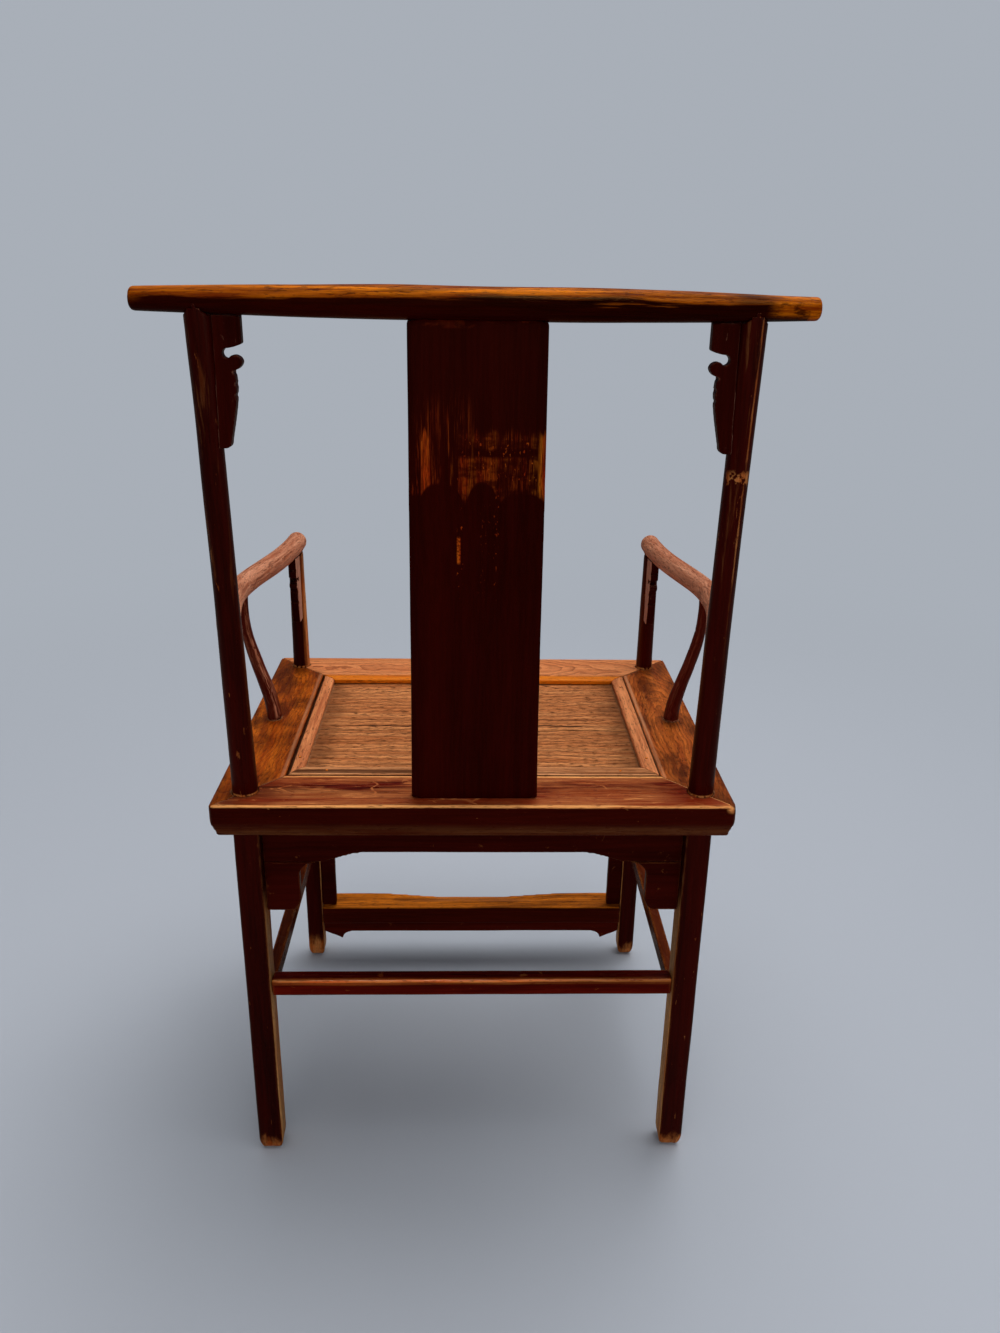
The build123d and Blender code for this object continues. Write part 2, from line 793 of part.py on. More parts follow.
def strut_path():
    """The strut's axis: up from the seat, out in an S, then up into the arm."""
    foot_x, y = strut_foot_point()
    head_x, _ = strut_head_point()
    rise = arm_z - seat_height
    out = head_x - foot_x
    return Spline(
        Vector(foot_x, y, seat_height),
        Vector(foot_x + strut_lower_bend[1] * out, y, seat_height + strut_lower_bend[0] * rise),
        Vector(foot_x + strut_upper_bend[1] * out, y, seat_height + strut_upper_bend[0] * rise),
        Vector(head_x, y, arm_z),
        tangents=[(strut_foot_slant, 0, 1), (strut_head_slant, 0, 1)],
    )


def strut_peg(side, grow=0.0):
    """The round peg under a strut's foot."""
    x, y = strut_foot_point()
    length = 2 * strut_peg_length
    peg = Cylinder(strut_peg_diameter / 2 + grow, length + 2 * grow)
    return Pos(side * x, y, seat_height) * peg


def strut_tip(grow=0.0):
    """The round tenon on the left strut's head."""
    x, y = strut_head_point()
    under = arm_z - arm_diameter / 2
    tip = Cylinder(strut_tip_diameter / 2 + grow, 2 * strut_tip_length + 2 * grow)
    return Pos(x, y, under) * tip


def arm_strut():
    """The left strut between the seat's side rail and the arm."""
    stations = (
        (0.0, strut_foot_diameter),
        (0.25, strut_lower_diameter),
        (0.5, strut_middle_diameter),
        (0.75, strut_upper_diameter),
        (1.0, strut_top_diameter),
    )
    strut = rod(strut_path(), stations)
    strut = strut & block((0, far), (-far, far), (seat_height, far))
    strut -= arm_blank()
    strut += strut_peg(1) & block((0, far), (-far, far), (0, seat_height))
    return strut + strut_tip()


# ---- aprons ----------------------------------------------------------------------------
def apron_strip(half_span):
    """An apron's long board in its own plane: x across, y up from the floor."""
    flat = half_span - apron_arch_run
    feather = half_span - apron_feather_run
    low = frame_bottom - apron_height
    end = frame_bottom - apron_end_height
    edges = Curve()
    edges += Polyline((feather, end), (half_span, end), (half_span, frame_bottom), (-half_span, frame_bottom))
    edges += Polyline((-half_span, frame_bottom), (-half_span, end), (-feather, end))
    run = feather - flat
    for side in (1, -1):
        edges += Bezier(
            (side * feather, end),
            (side * (feather - arch_handle * run), end + arch_handle * (low - end)),
            (side * (flat + arch_handle * run), low),
            (side * flat, low),
        )
    edges += Line((-flat, low), (flat, low))
    return board(edges, Plane.XZ, apron_thickness)


def tongue(half_span, low, high, grow=0.0):
    """The tongue at a board's right-hand end, which stands in the leg's groove."""
    return block(
        (half_span - tenon_inset, half_span + tongue_depth),
        (-tongue_thickness / 2, tongue_thickness / 2),
        (low + tongue_end_gap, high - tongue_end_gap),
        grow,
    )


def apron_with_tongues(half_span):
    """An apron's long board with a tongue at each end."""
    strip = apron_strip(half_span)
    ear = tongue(half_span, frame_bottom - apron_end_height, frame_bottom)
    return strip + ear + mirror(ear, about=Plane.YZ)


def apron_head(half_span, width, bottom, toe, curve_drop):
    """The drop piece under an apron's right-hand end, beside the leg."""
    feather = half_span - apron_feather_run
    top = frame_bottom - apron_end_height
    inner = half_span - width
    edges = Polyline((feather, top), (half_span, top), (half_span, bottom), (inner + toe, bottom))
    edges += Bezier((inner + toe, bottom), (inner, bottom + toe), (inner, bottom + 2 * toe))
    edges += Line((inner, bottom + 2 * toe), (inner, top - curve_drop))
    edges += Bezier((inner, top - curve_drop), (inner, top), (feather, top))
    head = board(edges, Plane.XZ, apron_thickness)
    return head + tongue(half_span, bottom, top)


def rear_apron_place():
    """The plane of the rear apron."""
    return Pos(0, rear_leg[1] + rear_half_leg - apron_setback - apron_thickness / 2, 0)


def front_apron_place():
    """The plane of the front apron."""
    return Pos(0, front_leg[1] - front_half_leg + front_apron_setback + apron_thickness / 2, 0)


def side_span():
    """Half the clear length between the front and rear legs."""
    return (rear_leg[1] - rear_half_leg - front_leg[1] - front_half_leg) / 2


def side_middle():
    """The middle of that clear length."""
    return (rear_leg[1] - rear_half_leg + front_leg[1] + front_half_leg) / 2


def side_apron_place():
    """The plane of the left apron, turned so that its x runs to the rear."""
    x = rear_leg[0] + rear_half_leg - apron_setback - apron_thickness / 2
    return Pos(x, side_middle(), 0) * Rot(0, 0, 90)


def rear_span():
    """Half the clear width between the rear legs."""
    return rear_leg[0] - rear_half_leg


def front_span():
    """Half the clear width between the front legs."""
    return front_leg[0] - front_half_leg


def head_bottom():
    """The height of the drop pieces' lower ends."""
    return frame_bottom - apron_end_height - head_drop


def head_and_strip_tongues(half_span, bottom):
    """The grooves that one leg needs for an apron and the piece under it."""
    top = frame_bottom - apron_end_height
    return [
        tongue(half_span, top, frame_bottom, joint_clearance),
        tongue(half_span, bottom, top, joint_clearance),
    ]


def rear_leg_grooves():
    """Grooves in the left rear leg for the rear and side aprons."""
    rear = [rear_apron_place() * cut for cut in head_and_strip_tongues(rear_span(), head_bottom())]
    side = [side_apron_place() * cut for cut in head_and_strip_tongues(side_span(), head_bottom())]
    return rear + side


def front_leg_grooves():
    """Grooves in the left front leg for the front and side aprons."""
    grooves = []
    for cut in head_and_strip_tongues(front_span(), footrest_height):
        grooves.append(front_apron_place() * cut)
    for cut in head_and_strip_tongues(side_span(), head_bottom()):
        grooves.append(side_apron_place() * mirror(cut, about=Plane.YZ))
    return grooves


# ---- stretchers and footrest -----------------------------------------------------------
def bar_tenon(x0, x1, tall, deep, grow=0.0):
    """A stretcher's tenon along X, centred on its bar."""
    half_d = deep / 2 - tenon_inset
    half_t = tall / 2 - tenon_inset
    return block((x0, x1), (-half_d, half_d), (-half_t, half_t), grow)


def rear_stretcher_place():
    """The rear stretcher's axis."""
    return Pos(0, rear_leg[1], rear_stretcher_height)


def rear_stretcher_tenon(grow=0.0):
    """The left tenon of the rear stretcher."""
    end = rear_span()
    reach = (end - tenon_inset, end + stretcher_tenon_length)
    return rear_stretcher_place() * bar_tenon(*reach, rear_stretcher_tall, rear_stretcher_deep, grow)


def stretcher_bar(half_length, tall, deep):
    """A bar along X with softened arrises."""
    bar = Box(2 * half_length, deep, tall)
    return fillet(bar.edges().filter_by(Axis.X), stretcher_arris)


def stretcher_rear():
    """The rear stretcher between the rear legs."""
    bar = rear_stretcher_place() * stretcher_bar(rear_span(), rear_stretcher_tall, rear_stretcher_deep)
    ear = rear_stretcher_tenon()
    return bar + ear + mirrored(ear)


def side_stretcher_place():
    """The left stretcher's axis, turned so that its x runs to the rear."""
    return Pos(front_leg[0], side_middle(), side_stretcher_height) * Rot(0, 0, 90)


def side_stretcher_tenon(end, grow=0.0):
    """One tenon of the left stretcher."""
    start = side_span()
    reach = (start - tenon_inset, start + stretcher_tenon_length)
    cut = bar_tenon(*reach, side_stretcher_tall, side_stretcher_wide, grow)
    if end == "front":
        cut = mirror(cut, about=Plane.YZ)
    return side_stretcher_place() * cut


def stretcher_side():
    """The left stretcher between the front and rear legs."""
    bar = stretcher_bar(side_span(), side_stretcher_tall, side_stretcher_wide)
    bar = side_stretcher_place() * bar
    return bar + side_stretcher_tenon("front") + side_stretcher_tenon("rear")


def footrest_tenon(grow=0.0):
    """The footrest's left tenon in the front leg."""
    x0 = front_span()
    z = footrest_height - footrest_thickness / 2
    half_h = footrest_tenon_height / 2
    half_w = front_half_leg - 2 * tenon_inset
    y = (front_leg[1] - half_w, front_leg[1] + half_w)
    return block((x0 - tenon_inset, x0 + stretcher_tenon_length), y, (z - half_h, z + half_h), grow)


def footrest():
    """The footrest: a board between the legs whose front runs past them in two ears."""
    bottom = footrest_height - footrest_thickness
    z = (bottom, footrest_height)
    rear = front_leg[1] + footrest_rear_overlap
    front = front_leg[1] - footrest_projection
    ear_back = front_leg[1] - front_half_leg - footrest_ear_gap
    middle = block((-front_span(), front_span()), (front, rear), z)
    ears = block((-front_leg[0] - front_half_leg, front_leg[0] + front_half_leg), (front, ear_back), z)
    rest = middle + ears - footrest_hollow()
    return rest + footrest_tenon() + mirrored(footrest_tenon())


def footrest_hollow():
    """What feet have worn off the front edge: a shallow dish that slopes down to the front."""
    front = front_leg[1] - footrest_projection
    half = front_span() - footrest_wear_end_gap
    low = footrest_height - footrest_wear
    edges = Polyline((half, footrest_height), (half, far), (-half, far), (-half, footrest_height))
    for side in (1, -1):
        edges += Bezier(
            (side * half, footrest_height),
            (side * half / 2, footrest_height),
            (side * half / 2, low),
            (0, low),
        )
    dish = Pos(0, front, 0) * board(edges, Plane.XZ, 4 * footrest_projection)
    slope = degrees(atan(footrest_wear / footrest_wear_reach))
    hinge = Pos(0, front + footrest_wear_reach, footrest_height)
    return dish - hinge * Rot(slope, 0, 0) * Pos(0, 0, -far / 2) * Box(far, far, far)


def footrest_apron():
    """The low apron under the footrest, with a pointed cusp near each leg."""
    top = footrest_height - footrest_thickness
    low = top - footrest_apron_height
    half = front_span()
    tip = half - cusp_run
    start = tip - cusp_lead
    edges = Polyline((half, low), (half, top), (-half, top), (-half, low))
    edges += Line((-start, low), (start, low))
    for side in (1, -1):
        edges += Bezier((side * start, low), (side * tip, low), (side * tip, low - cusp_drop))
        edges += Line((side * tip, low - cusp_drop), (side * half, low))
    apron = board(edges, Plane.XZ, footrest_apron_thickness)
    return Pos(0, front_leg[1], 0) * apron


# ---- the whole chair --------------------------------------------------------------------
def write_seat():
    """The seat frame, panel, battens, beads and pins."""
    save("seat_rail_front", end_rail("front"))
    save("seat_rail_rear", end_rail("rear"))
    save("seat_rail_left", side_rail(1))
    save("seat_rail_right", side_rail(-1))
    save("seat_panel", seat_panel())
    save("seat_batten_left", seat_batten(1))
    save("seat_batten_right", seat_batten(-1))
    for place in ("front", "rear", "left", "right"):
        save(f"seat_bead_{place}", seat_bead(place))
    save("seat_bead_pins", Compound(bead_pins()))


def write_pair(name, piece):
    """A left-hand piece and its mirror image."""
    save(f"{name}_left", piece)
    save(f"{name}_right", mirrored(piece))


def write_uprights():
    """Everything above the seat, and the legs, which are one with the posts."""
    write_pair("rear_post", rear_post())
    write_pair("front_post", front_post())
    save("crest_rail", crest_rail())
    save("crest_rail_pegs", Compound(crest_pegs()))
    save("back_splat", back_splat())
    write_pair("crest_bracket", crest_bracket())
    write_pair("arm", arm())
    save("arm_pegs", Compound(arm_pegs()))
    write_pair("arm_strut", arm_strut())
    write_pair("arm_bracket", arm_bracket())


def write_base():
    """Aprons, stretchers and footrest."""
    save("apron_rear", rear_apron_place() * apron_with_tongues(rear_span()))
    save("apron_front", front_apron_place() * apron_with_tongues(front_span()))
    write_pair("apron_side", side_apron_place() * apron_with_tongues(side_span()))
    head_shape = (head_width, head_bottom(), head_toe, head_curve_drop)
    rear_head = apron_head(rear_span(), *head_shape)
    write_pair("apron_rear_head", rear_apron_place() * rear_head)
    strip_shape = (front_strip_width, footrest_height, front_strip_toe, front_strip_curve_drop)
    front_strip = apron_head(front_span(), *strip_shape)
    write_pair("apron_front_strip", front_apron_place() * front_strip)
    side_head = apron_head(side_span(), *head_shape)
    write_pair("apron_side_head_rear", side_apron_place() * side_head)
    write_pair("apron_side_head_front", side_apron_place() * mirror(side_head, about=Plane.YZ))
    save("stretcher_rear", stretcher_rear())
    write_pair("stretcher_side", stretcher_side())
    save("footrest", footrest())
    save("footrest_apron", footrest_apron())


os.makedirs("parts", exist_ok=True)
write_seat()
write_uprights()
write_base()
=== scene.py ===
# %% [markdown]
# # An official's hat armchair
# The joiner's model is loaded first and stays where it is: every piece of the chair is one closed
# solid, in metres, with the floor at z = 0 and the sitter facing -y. This script only dresses it.
# Loading the frame before anything else means that each finish and each detail can be placed by
# the real pieces instead of by eye.

# %% Load the joiner's model
import math

import bpy
import numpy as np
from mathutils import Matrix, Vector, noise


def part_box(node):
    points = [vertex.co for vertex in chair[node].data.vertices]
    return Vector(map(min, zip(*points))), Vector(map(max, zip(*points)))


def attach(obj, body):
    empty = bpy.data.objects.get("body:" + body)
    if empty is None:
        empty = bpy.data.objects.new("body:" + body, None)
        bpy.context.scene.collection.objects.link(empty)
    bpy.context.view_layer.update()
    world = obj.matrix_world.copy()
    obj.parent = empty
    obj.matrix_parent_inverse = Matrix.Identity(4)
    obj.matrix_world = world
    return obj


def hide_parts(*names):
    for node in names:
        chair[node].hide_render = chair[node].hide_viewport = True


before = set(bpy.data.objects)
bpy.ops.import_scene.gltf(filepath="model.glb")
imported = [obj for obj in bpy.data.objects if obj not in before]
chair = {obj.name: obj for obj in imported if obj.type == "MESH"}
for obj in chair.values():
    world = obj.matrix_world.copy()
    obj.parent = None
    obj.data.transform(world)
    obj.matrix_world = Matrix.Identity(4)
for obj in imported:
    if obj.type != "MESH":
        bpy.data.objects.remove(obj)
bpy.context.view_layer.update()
print("pieces in the chair:", len(chair))

# %% [markdown]
# ## Camera
# The chair is seen from behind, from a little above the crest rail, with a short lens, so the
# posts lean outward toward the top. A camera is a point and a rotation. Writing the rotation as
# three directions (right, up, back) keeps its tiny roll easy to follow.

# %% Camera
camera_place = Vector((0.006335, 1.201404, 1.029808))
camera_yaw, camera_pitch, camera_roll = 0.0321165, 0.3622606, -0.0169355
ahead = Vector((
    -math.sin(camera_yaw) * math.cos(camera_pitch),
    -math.cos(camera_yaw) * math.cos(camera_pitch),
    -math.sin(camera_pitch),
))
level_right = ahead.cross(Vector((0, 0, 1))).normalized()
level_down = ahead.cross(level_right)
camera_right = math.cos(camera_roll) * level_right + math.sin(camera_roll) * level_down
camera_down = math.cos(camera_roll) * level_down - math.sin(camera_roll) * level_right
camera_data = bpy.data.cameras.new("camera")
camera_data.sensor_fit = "VERTICAL"
camera_data.sensor_height = 36.0
camera_data.sensor_width = 27.0
camera_data.lens = 27.577
camera = bpy.data.objects.new("camera", camera_data)
turn = Matrix((camera_right, -camera_down, -ahead)).transposed()
camera.matrix_world = Matrix.Translation(camera_place) @ turn.to_4x4()
bpy.context.scene.collection.objects.link(camera)
bpy.context.scene.camera = camera
print("camera", [round(v, 3) for v in camera_place], "lens", camera_data.lens)

# %% [markdown]
# ## Light
# One wide soft light hangs over the front half of the chair. It lights the seat and the tops of
# the rails and leaves the backs of the splat and posts almost black, as old lacquer looks from
# behind. A sun lamp with a very wide disc does that evenly over a floor without end, and a second,
# narrower one from the right gives the shadow its dark middle. Two large boxes, one in front and
# one behind, only fill the shadows: nothing mirrors them. Polished bars need something narrow to
# mirror: one strip overhead draws the golden line along crest rail and stretcher, and one at the
# side draws the pale line down the posts. The room is pale where the camera looks straight at it,
# and much darker where the lacquer mirrors it.

# %% Lamps and room
def add_object(name, data):
    """A new object in the scene."""
    made = bpy.data.objects.new(name, data)
    bpy.context.scene.collection.objects.link(made)
    return made


def aim_lamp(lamp, place, aim):
    """Puts a lamp somewhere and turns it to a point."""
    look = (Vector(aim) - Vector(place)).to_track_quat("-Z", "Y")
    lamp.matrix_world = Matrix.Translation(Vector(place)) @ look.to_matrix().to_4x4()


def sun_light(name, place, degrees, power):
    """A sun lamp whose disc is that many degrees wide."""
    data = bpy.data.lights.new(name, "SUN")
    data.energy = power
    data.angle = math.radians(degrees)
    data.color = (1.0, 0.965, 0.92)
    aim_lamp(add_object(name, data), place, (0, 0, 0))


def strip_light(name, place, aim, size, power, kind, colour=(1.0, 0.97, 0.93)):
    """A rectangular soft box. A "glint" is only mirrored, and a "fill" is never mirrored."""
    data = bpy.data.lights.new(name, "AREA")
    data.shape = "RECTANGLE"
    data.size, data.size_y = size
    data.energy = power
    data.color = colour
    lamp = add_object(name, data)
    lamp.visible_diffuse = kind != "glint"
    lamp.visible_glossy = kind != "fill"
    aim_lamp(lamp, place, aim)


sun_light("wide_light", (-0.3, -0.42, 2.6), 80, 1.2)
sun_light("key_light", (-0.85, -0.6, 2.5), 48, 0.9)
strip_light("front_box", (-0.5, -1.3, 2.1), (0, 0, 0.5), (1.6, 1.0), 9.0, "fill")
strip_light("rear_box", (0.0, 2.4, 1.2), (0, 0.1, 0.3), (2.6, 0.9), 17.0, "fill")
strip_light(
    "overhead_strip", (-0.1, 1.0, 2.4), (-0.05, 0.2, 0.8), (1.5, 0.09), 36.0, "glint",
    (1.0, 0.80, 0.60)
)
strip_light("side_strip", (-2.3, 1.3, 1.5), (-0.2, 0.2, 0.8), (0.16, 1.6), 9.0, "glint")

ROOM_GREY = (0.395, 0.428, 0.478, 1.0)
world = bpy.data.worlds.new("room")
bpy.context.scene.world = world
world.use_nodes = True
sky = world.node_tree.nodes["Background"]
ray = world.node_tree.nodes.new("ShaderNodeLightPath")
seen_or_felt = world.node_tree.nodes.new("ShaderNodeMix")
seen_or_felt.data_type = "RGBA"
world.node_tree.links.new(ray.outputs["Is Camera Ray"], seen_or_felt.inputs[0])
seen_or_felt.inputs[6].default_value = (0.060, 0.063, 0.072, 1.0)
seen_or_felt.inputs[7].default_value = ROOM_GREY
world.node_tree.links.new(seen_or_felt.outputs[2], sky.inputs["Color"])
bpy.context.scene.view_settings.view_transform = "Standard"

# %% [markdown]
# ## Wear as a shape
# A joiner's edge is sharp and an old chair's edge isn't. Bevels on such a model all come out the
# same width, which is what a machine does. Here each piece is copied, remeshed into small even
# squares, smoothed, and then only partly moved to the smoothed place: noise decides how much of
# each edge is gone. The same noise makes the faces a little uneven, so they catch light in bands.

# %% Mesh helpers
def modify(piece, kind, **settings):
    """Adds one modifier and turns its result into the piece's mesh."""
    modifier = piece.modifiers.new(kind.lower(), kind)
    for name, value in settings.items():
        setattr(modifier, name, value)
    graph = bpy.context.evaluated_depsgraph_get()
    mesh = bpy.data.meshes.new_from_object(piece.evaluated_get(graph))
    piece.modifiers.clear()
    piece.data = mesh


def vertex_values(piece, field):
    """The places ("co") or the normals ("normal") of all vertices, one row each."""
    values = np.empty(len(piece.data.vertices) * 3)
    piece.data.vertices.foreach_get(field, values)
    return values.reshape(-1, 3)


def lumps(places, size, along=(1.0, 1.0, 1.0), seed=0.0):
    """Noise from -1 to 1 at each place. Size is in metres; along draws it out along the grain."""
    squeezed = places * (np.array(along) / size) + seed
    return np.array([noise.noise(point) for point in squeezed.tolist()])


def between(values, low, high):
    """0 below low, 1 above high and a soft step between."""
    share = np.clip((values - low) / (high - low), 0.0, 1.0)
    return share * share * (3 - 2 * share)


X_GRAIN = (0.045, 1.0, 1.0)
Y_GRAIN = (1.0, 0.045, 1.0)
Z_GRAIN = (1.0, 1.0, 0.045)
print("grain directions:", X_GRAIN, Y_GRAIN, Z_GRAIN)


def straightened(places, axis):
    """Places of a curved bar as they would be if it were straight along one axis."""
    run = places[:, axis]
    edges = np.linspace(run.min(), run.max(), 40)
    slot = np.clip(np.digitize(run, edges) - 1, 0, len(edges) - 2)
    middle = (edges[:-1] + edges[1:]) / 2
    straight = places.copy()
    for other in range(3):
        if other != axis:
            centre = np.array([places[slot == i, other].mean() for i in range(len(middle))])
            straight[:, other] -= np.interp(run, middle, centre)
    return straight


# %% Worn copy of a piece
def worn_copy(
    name, along, voxel=0.0018, rounding=4, uneven=0.0002, keep=0.3, carve=None, sound=None,
    bent=None
):
    """A copy of the joiner's piece with rubbed edges and uneven faces. It stands for that piece.
    carve(places, outward) moves the surface; sound(places) is 1 where the wood is still whole;
    bent is the axis that a curved piece runs along, so that its grain can follow the curve."""
    piece = add_object(f"{name}_worn", chair[name].data.copy())
    modify(piece, "REMESH", mode="VOXEL", voxel_size=voxel)
    sharp = vertex_values(piece, "co")
    modify(piece, "SMOOTH", factor=0.5, iterations=rounding)
    blunt = vertex_values(piece, "co")
    outward = vertex_values(piece, "normal")
    stretch_along = [0.3 + 0.7 * share for share in along]
    rubbed_share = 0.7 + 0.75 * lumps(sharp, 0.016, stretch_along, 3.1)
    if sound:
        rubbed_share = rubbed_share * (1.0 - 0.8 * sound(sharp))
    places = sharp + (blunt - sharp) * rubbed_share[:, None]
    off_floor = between(places[:, 2], 0.002, 0.006)
    depth = uneven * off_floor * (lumps(places, 0.030, stretch_along, 7.7) - 0.6)
    places += outward * depth[:, None]
    if carve:
        places = carve(places, outward)
    piece.data.vertices.foreach_set("co", places.ravel())
    modify(piece, "DECIMATE", ratio=keep)
    if bent is not None:
        attribute = piece.data.attributes.new("straight", "FLOAT_VECTOR", "POINT")
        attribute.data.foreach_set("vector", straightened(vertex_values(piece, "co"), bent).ravel())
    piece.data.shade_smooth()
    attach(piece, "root")
    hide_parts(name)
    detailed[name] = piece


def dress(material, *names):
    """Gives a finish to pieces of the chair, the detailed one where there is one."""
    for name in names:
        piece = detailed.get(name, chair[name])
        if piece.material_slots:
            for slot in piece.material_slots:
                slot.material = material
        else:
            piece.data.materials.append(material)


detailed = {}
print("helpers for worn pieces ready")

# %% [markdown]
# ## Shader helpers
# Every finish below is drawn by nodes. A few small helpers keep that readable: add_node makes a
# node and fills its sockets, calc and vector_calc do arithmetic, step turns a value into a mask
# with a soft edge, and the noise helpers draw the irregular things. Colours are written as they
# look on a screen, 0 to 255, and linear() turns them into the light values that a shader takes.
# A node output knows its own node tree, so the helpers find the tree from the values they get.

# %% Node helpers
def tree_of(*values):
    """The node tree of the first node output among some values."""
    return next(value.id_data for value in values if isinstance(value, bpy.types.NodeSocket))


def feed(socket, value):
    """Links a node output to a socket, or sets a plain value on it."""
    if isinstance(value, bpy.types.NodeSocket):
        socket.id_data.links.new(value, socket)
    else:
        socket.default_value = value


def add_node(tree, kind, settings=None, **sockets):
    """Makes a node. A socket's name has _ for a space, or is _ and its number."""
    made = tree.nodes.new(kind)
    for name, value in (settings or {}).items():
        setattr(made, name, value)
    for name, value in sockets.items():
        feed(made.inputs[int(name[1:]) if name[0] == "_" else name.replace("_", " ")], value)
    return made


def calc(operation, *values):
    """Arithmetic on one to three values, each a number or a node output."""
    made = tree_of(*values).nodes.new("ShaderNodeMath")
    made.operation = operation
    for socket, value in zip(made.inputs, values):
        feed(socket, value)
    return made.outputs[0]


def absolute(value):
    """A value without its sign."""
    return calc("ABSOLUTE", value)


def inverse(mask):
    """1 where the mask is 0."""
    return calc("SUBTRACT", 1.0, mask)


def ragged_by(value, wander, amount):
    """A value pushed up and down by noise that lies around 0.5."""
    return calc("MULTIPLY_ADD", calc("SUBTRACT", wander, 0.5), amount, value)


def step(value, low, high, out_low=0.0, out_high=1.0):
    """A soft step: out_low below low, out_high above high."""
    made = add_node(
        value.id_data, "ShaderNodeMapRange", {"interpolation_type": "SMOOTHSTEP"},
        Value=value, From_Min=low, From_Max=high, To_Min=out_low, To_Max=out_high,
    )
    return made.outputs["Result"]


def below(value, low, high):
    """A mask with a soft edge: 1 below low, 0 above high."""
    return step(value, low, high, 1.0, 0.0)


def blend_colour(share, first, second):
    """Two colours mixed by a value."""
    made = share.id_data.nodes.new("ShaderNodeMix")
    made.data_type = "RGBA"
    for index, value in ((0, share), (6, first), (7, second)):
        feed(made.inputs[index], value)
    return made.outputs[2]


def vector_calc(operation, **sockets):
    """Vector arithmetic: the result as a vector, or as a number for a length or a product."""
    tree = tree_of(*sockets.values())
    made = add_node(tree, "ShaderNodeVectorMath", {"operation": operation}, **sockets)
    return made.outputs["Value" if operation in ("LENGTH", "DISTANCE", "DOT_PRODUCT") else "Vector"]


def stretch(vector, along):
    """A position squeezed along the grain, so that noise runs in fibres."""
    return vector_calc("MULTIPLY", _0=vector, _1=along)


def noise_value(vector, scale, detail=3.0, roughness=0.55, distortion=0.0):
    """Noise as a value around 0.5."""
    made = add_node(
        vector.id_data, "ShaderNodeTexNoise",
        Vector=vector, Scale=scale, Detail=detail, Roughness=roughness, Distortion=distortion,
    )
    return made.outputs["Fac"]


def streak_noise(place, along, *settings):
    """Noise drawn out along the grain. The settings are its scale, detail and roughness."""
    return noise_value(stretch(place, along), *settings)


def new_group(name, inputs, outputs):
    """An empty node group with named inputs (name, kind, default) and value outputs."""
    tree = bpy.data.node_groups.new(name, "ShaderNodeTree")
    kinds = {"value": "NodeSocketFloat", "vector": "NodeSocketVector"}
    for label, kind, default in inputs:
        socket = tree.interface.new_socket(label, in_out="INPUT", socket_type=kinds[kind])
        if default is not None:
            socket.default_value = default
    for label in outputs:
        tree.interface.new_socket(label, in_out="OUTPUT", socket_type=kinds["value"])
    given = tree.nodes.new("NodeGroupInput").outputs
    result = tree.nodes.new("NodeGroupOutput").inputs
    return tree, given, result


def use_group(group, **sockets):
    """Places a group in a material and fills its inputs."""
    made = tree_of(*sockets.values()).nodes.new("ShaderNodeGroup")
    made.node_tree = group
    for name, value in sockets.items():
        feed(made.inputs[name.replace("_", " ")], value)
    return made.outputs


def linear(colour, dim=1.0):
    """A screen colour, 0 to 255, as the linear colour that a socket takes, dimmed if asked."""
    parts = [v / 255 / 12.92 if v < 10 else ((v / 255 + 0.055) / 1.055) ** 2.4 for v in colour]
    return (*[part * dim for part in parts], 1.0)


print("shader helpers ready")

# %% [markdown]
# ## Fine grain
# Close up, this wood has fibres a few millimetres apart, short open pores like pencil dashes,
# darker streaks a finger wide and a slow drift of colour across a board. All four are the same
# noise at four sizes, squeezed along the grain, so they sit in one group that every finish shares.

# %% Fine grain group
fine_grain, given, result = new_group(
    "fine grain",
    [("Position", "vector", None), ("Along", "vector", X_GRAIN), ("Fineness", "value", 1.0)],
    ["Fibres", "Pores", "Streaks", "Drift"],
)
laid = stretch(given["Position"], given["Along"])
fibre_scale = calc("MULTIPLY", given["Fineness"], 330.0)
pore_scale = calc("MULTIPLY", given["Fineness"], 640.0)
fibres = noise_value(laid, fibre_scale, 6.0, 0.68, 0.15)
feed(result["Fibres"], step(fibres, 0.36, 0.64))
shorter = stretch(given["Position"], (0.1, 0.1, 0.1))
laid_pores = vector_calc("ADD", _0=laid, _1=shorter)
pores = noise_value(laid_pores, pore_scale, 2.5, 0.55)
feed(result["Pores"], step(pores, 0.565, 0.665))
streaks = noise_value(laid, 105.0, 4.0, 0.6, 0.2)
feed(result["Streaks"], step(streaks, 0.38, 0.62))
drift = noise_value(laid, 34.0, 3.0, 0.5, 0.3)
feed(result["Drift"], step(drift, 0.30, 0.70))
print("group:", fine_grain.name, [s.name for s in fine_grain.interface.items_tree])

# %% [markdown]
# ## Growth rings
# A flat-sawn board shows arches: the rings of the tree cut at a shallow angle. The trunk is a set
# of pipes round one axis, so the distance from a slightly tilted axis, wobbled by noise, gives
# the arches by itself. Each ring darkens slowly and ends sharply, as summer wood does.

# %% Growth rings group
growth_rings, given, result = new_group(
    "growth rings",
    [
        ("Position", "vector", None), ("Heart", "vector", (0.0, 0.0, -0.06)),
        ("Tilt", "vector", (0.0, 0.0, 0.0)), ("Across", "vector", (0.0, 1.0, 1.0)),
        ("Ring Width", "value", 0.006), ("Wobble", "value", 0.006),
    ],
    ["Rings"],
)
moved = vector_calc("SUBTRACT", _0=given["Position"], _1=given["Heart"])
turned = add_node(
    growth_rings, "ShaderNodeVectorRotate", {"rotation_type": "EULER_XYZ"}, Vector=moved,
    Rotation=given["Tilt"]
).outputs[0]
flat = stretch(turned, given["Across"])
from_heart = vector_calc("LENGTH", _0=flat)
wave = calc("SUBTRACT", noise_value(given["Position"], 11.0, 2.0, 0.45), 0.5)
ripple = calc("SUBTRACT", noise_value(given["Position"], 70.0, 2.0, 0.5), 0.5)
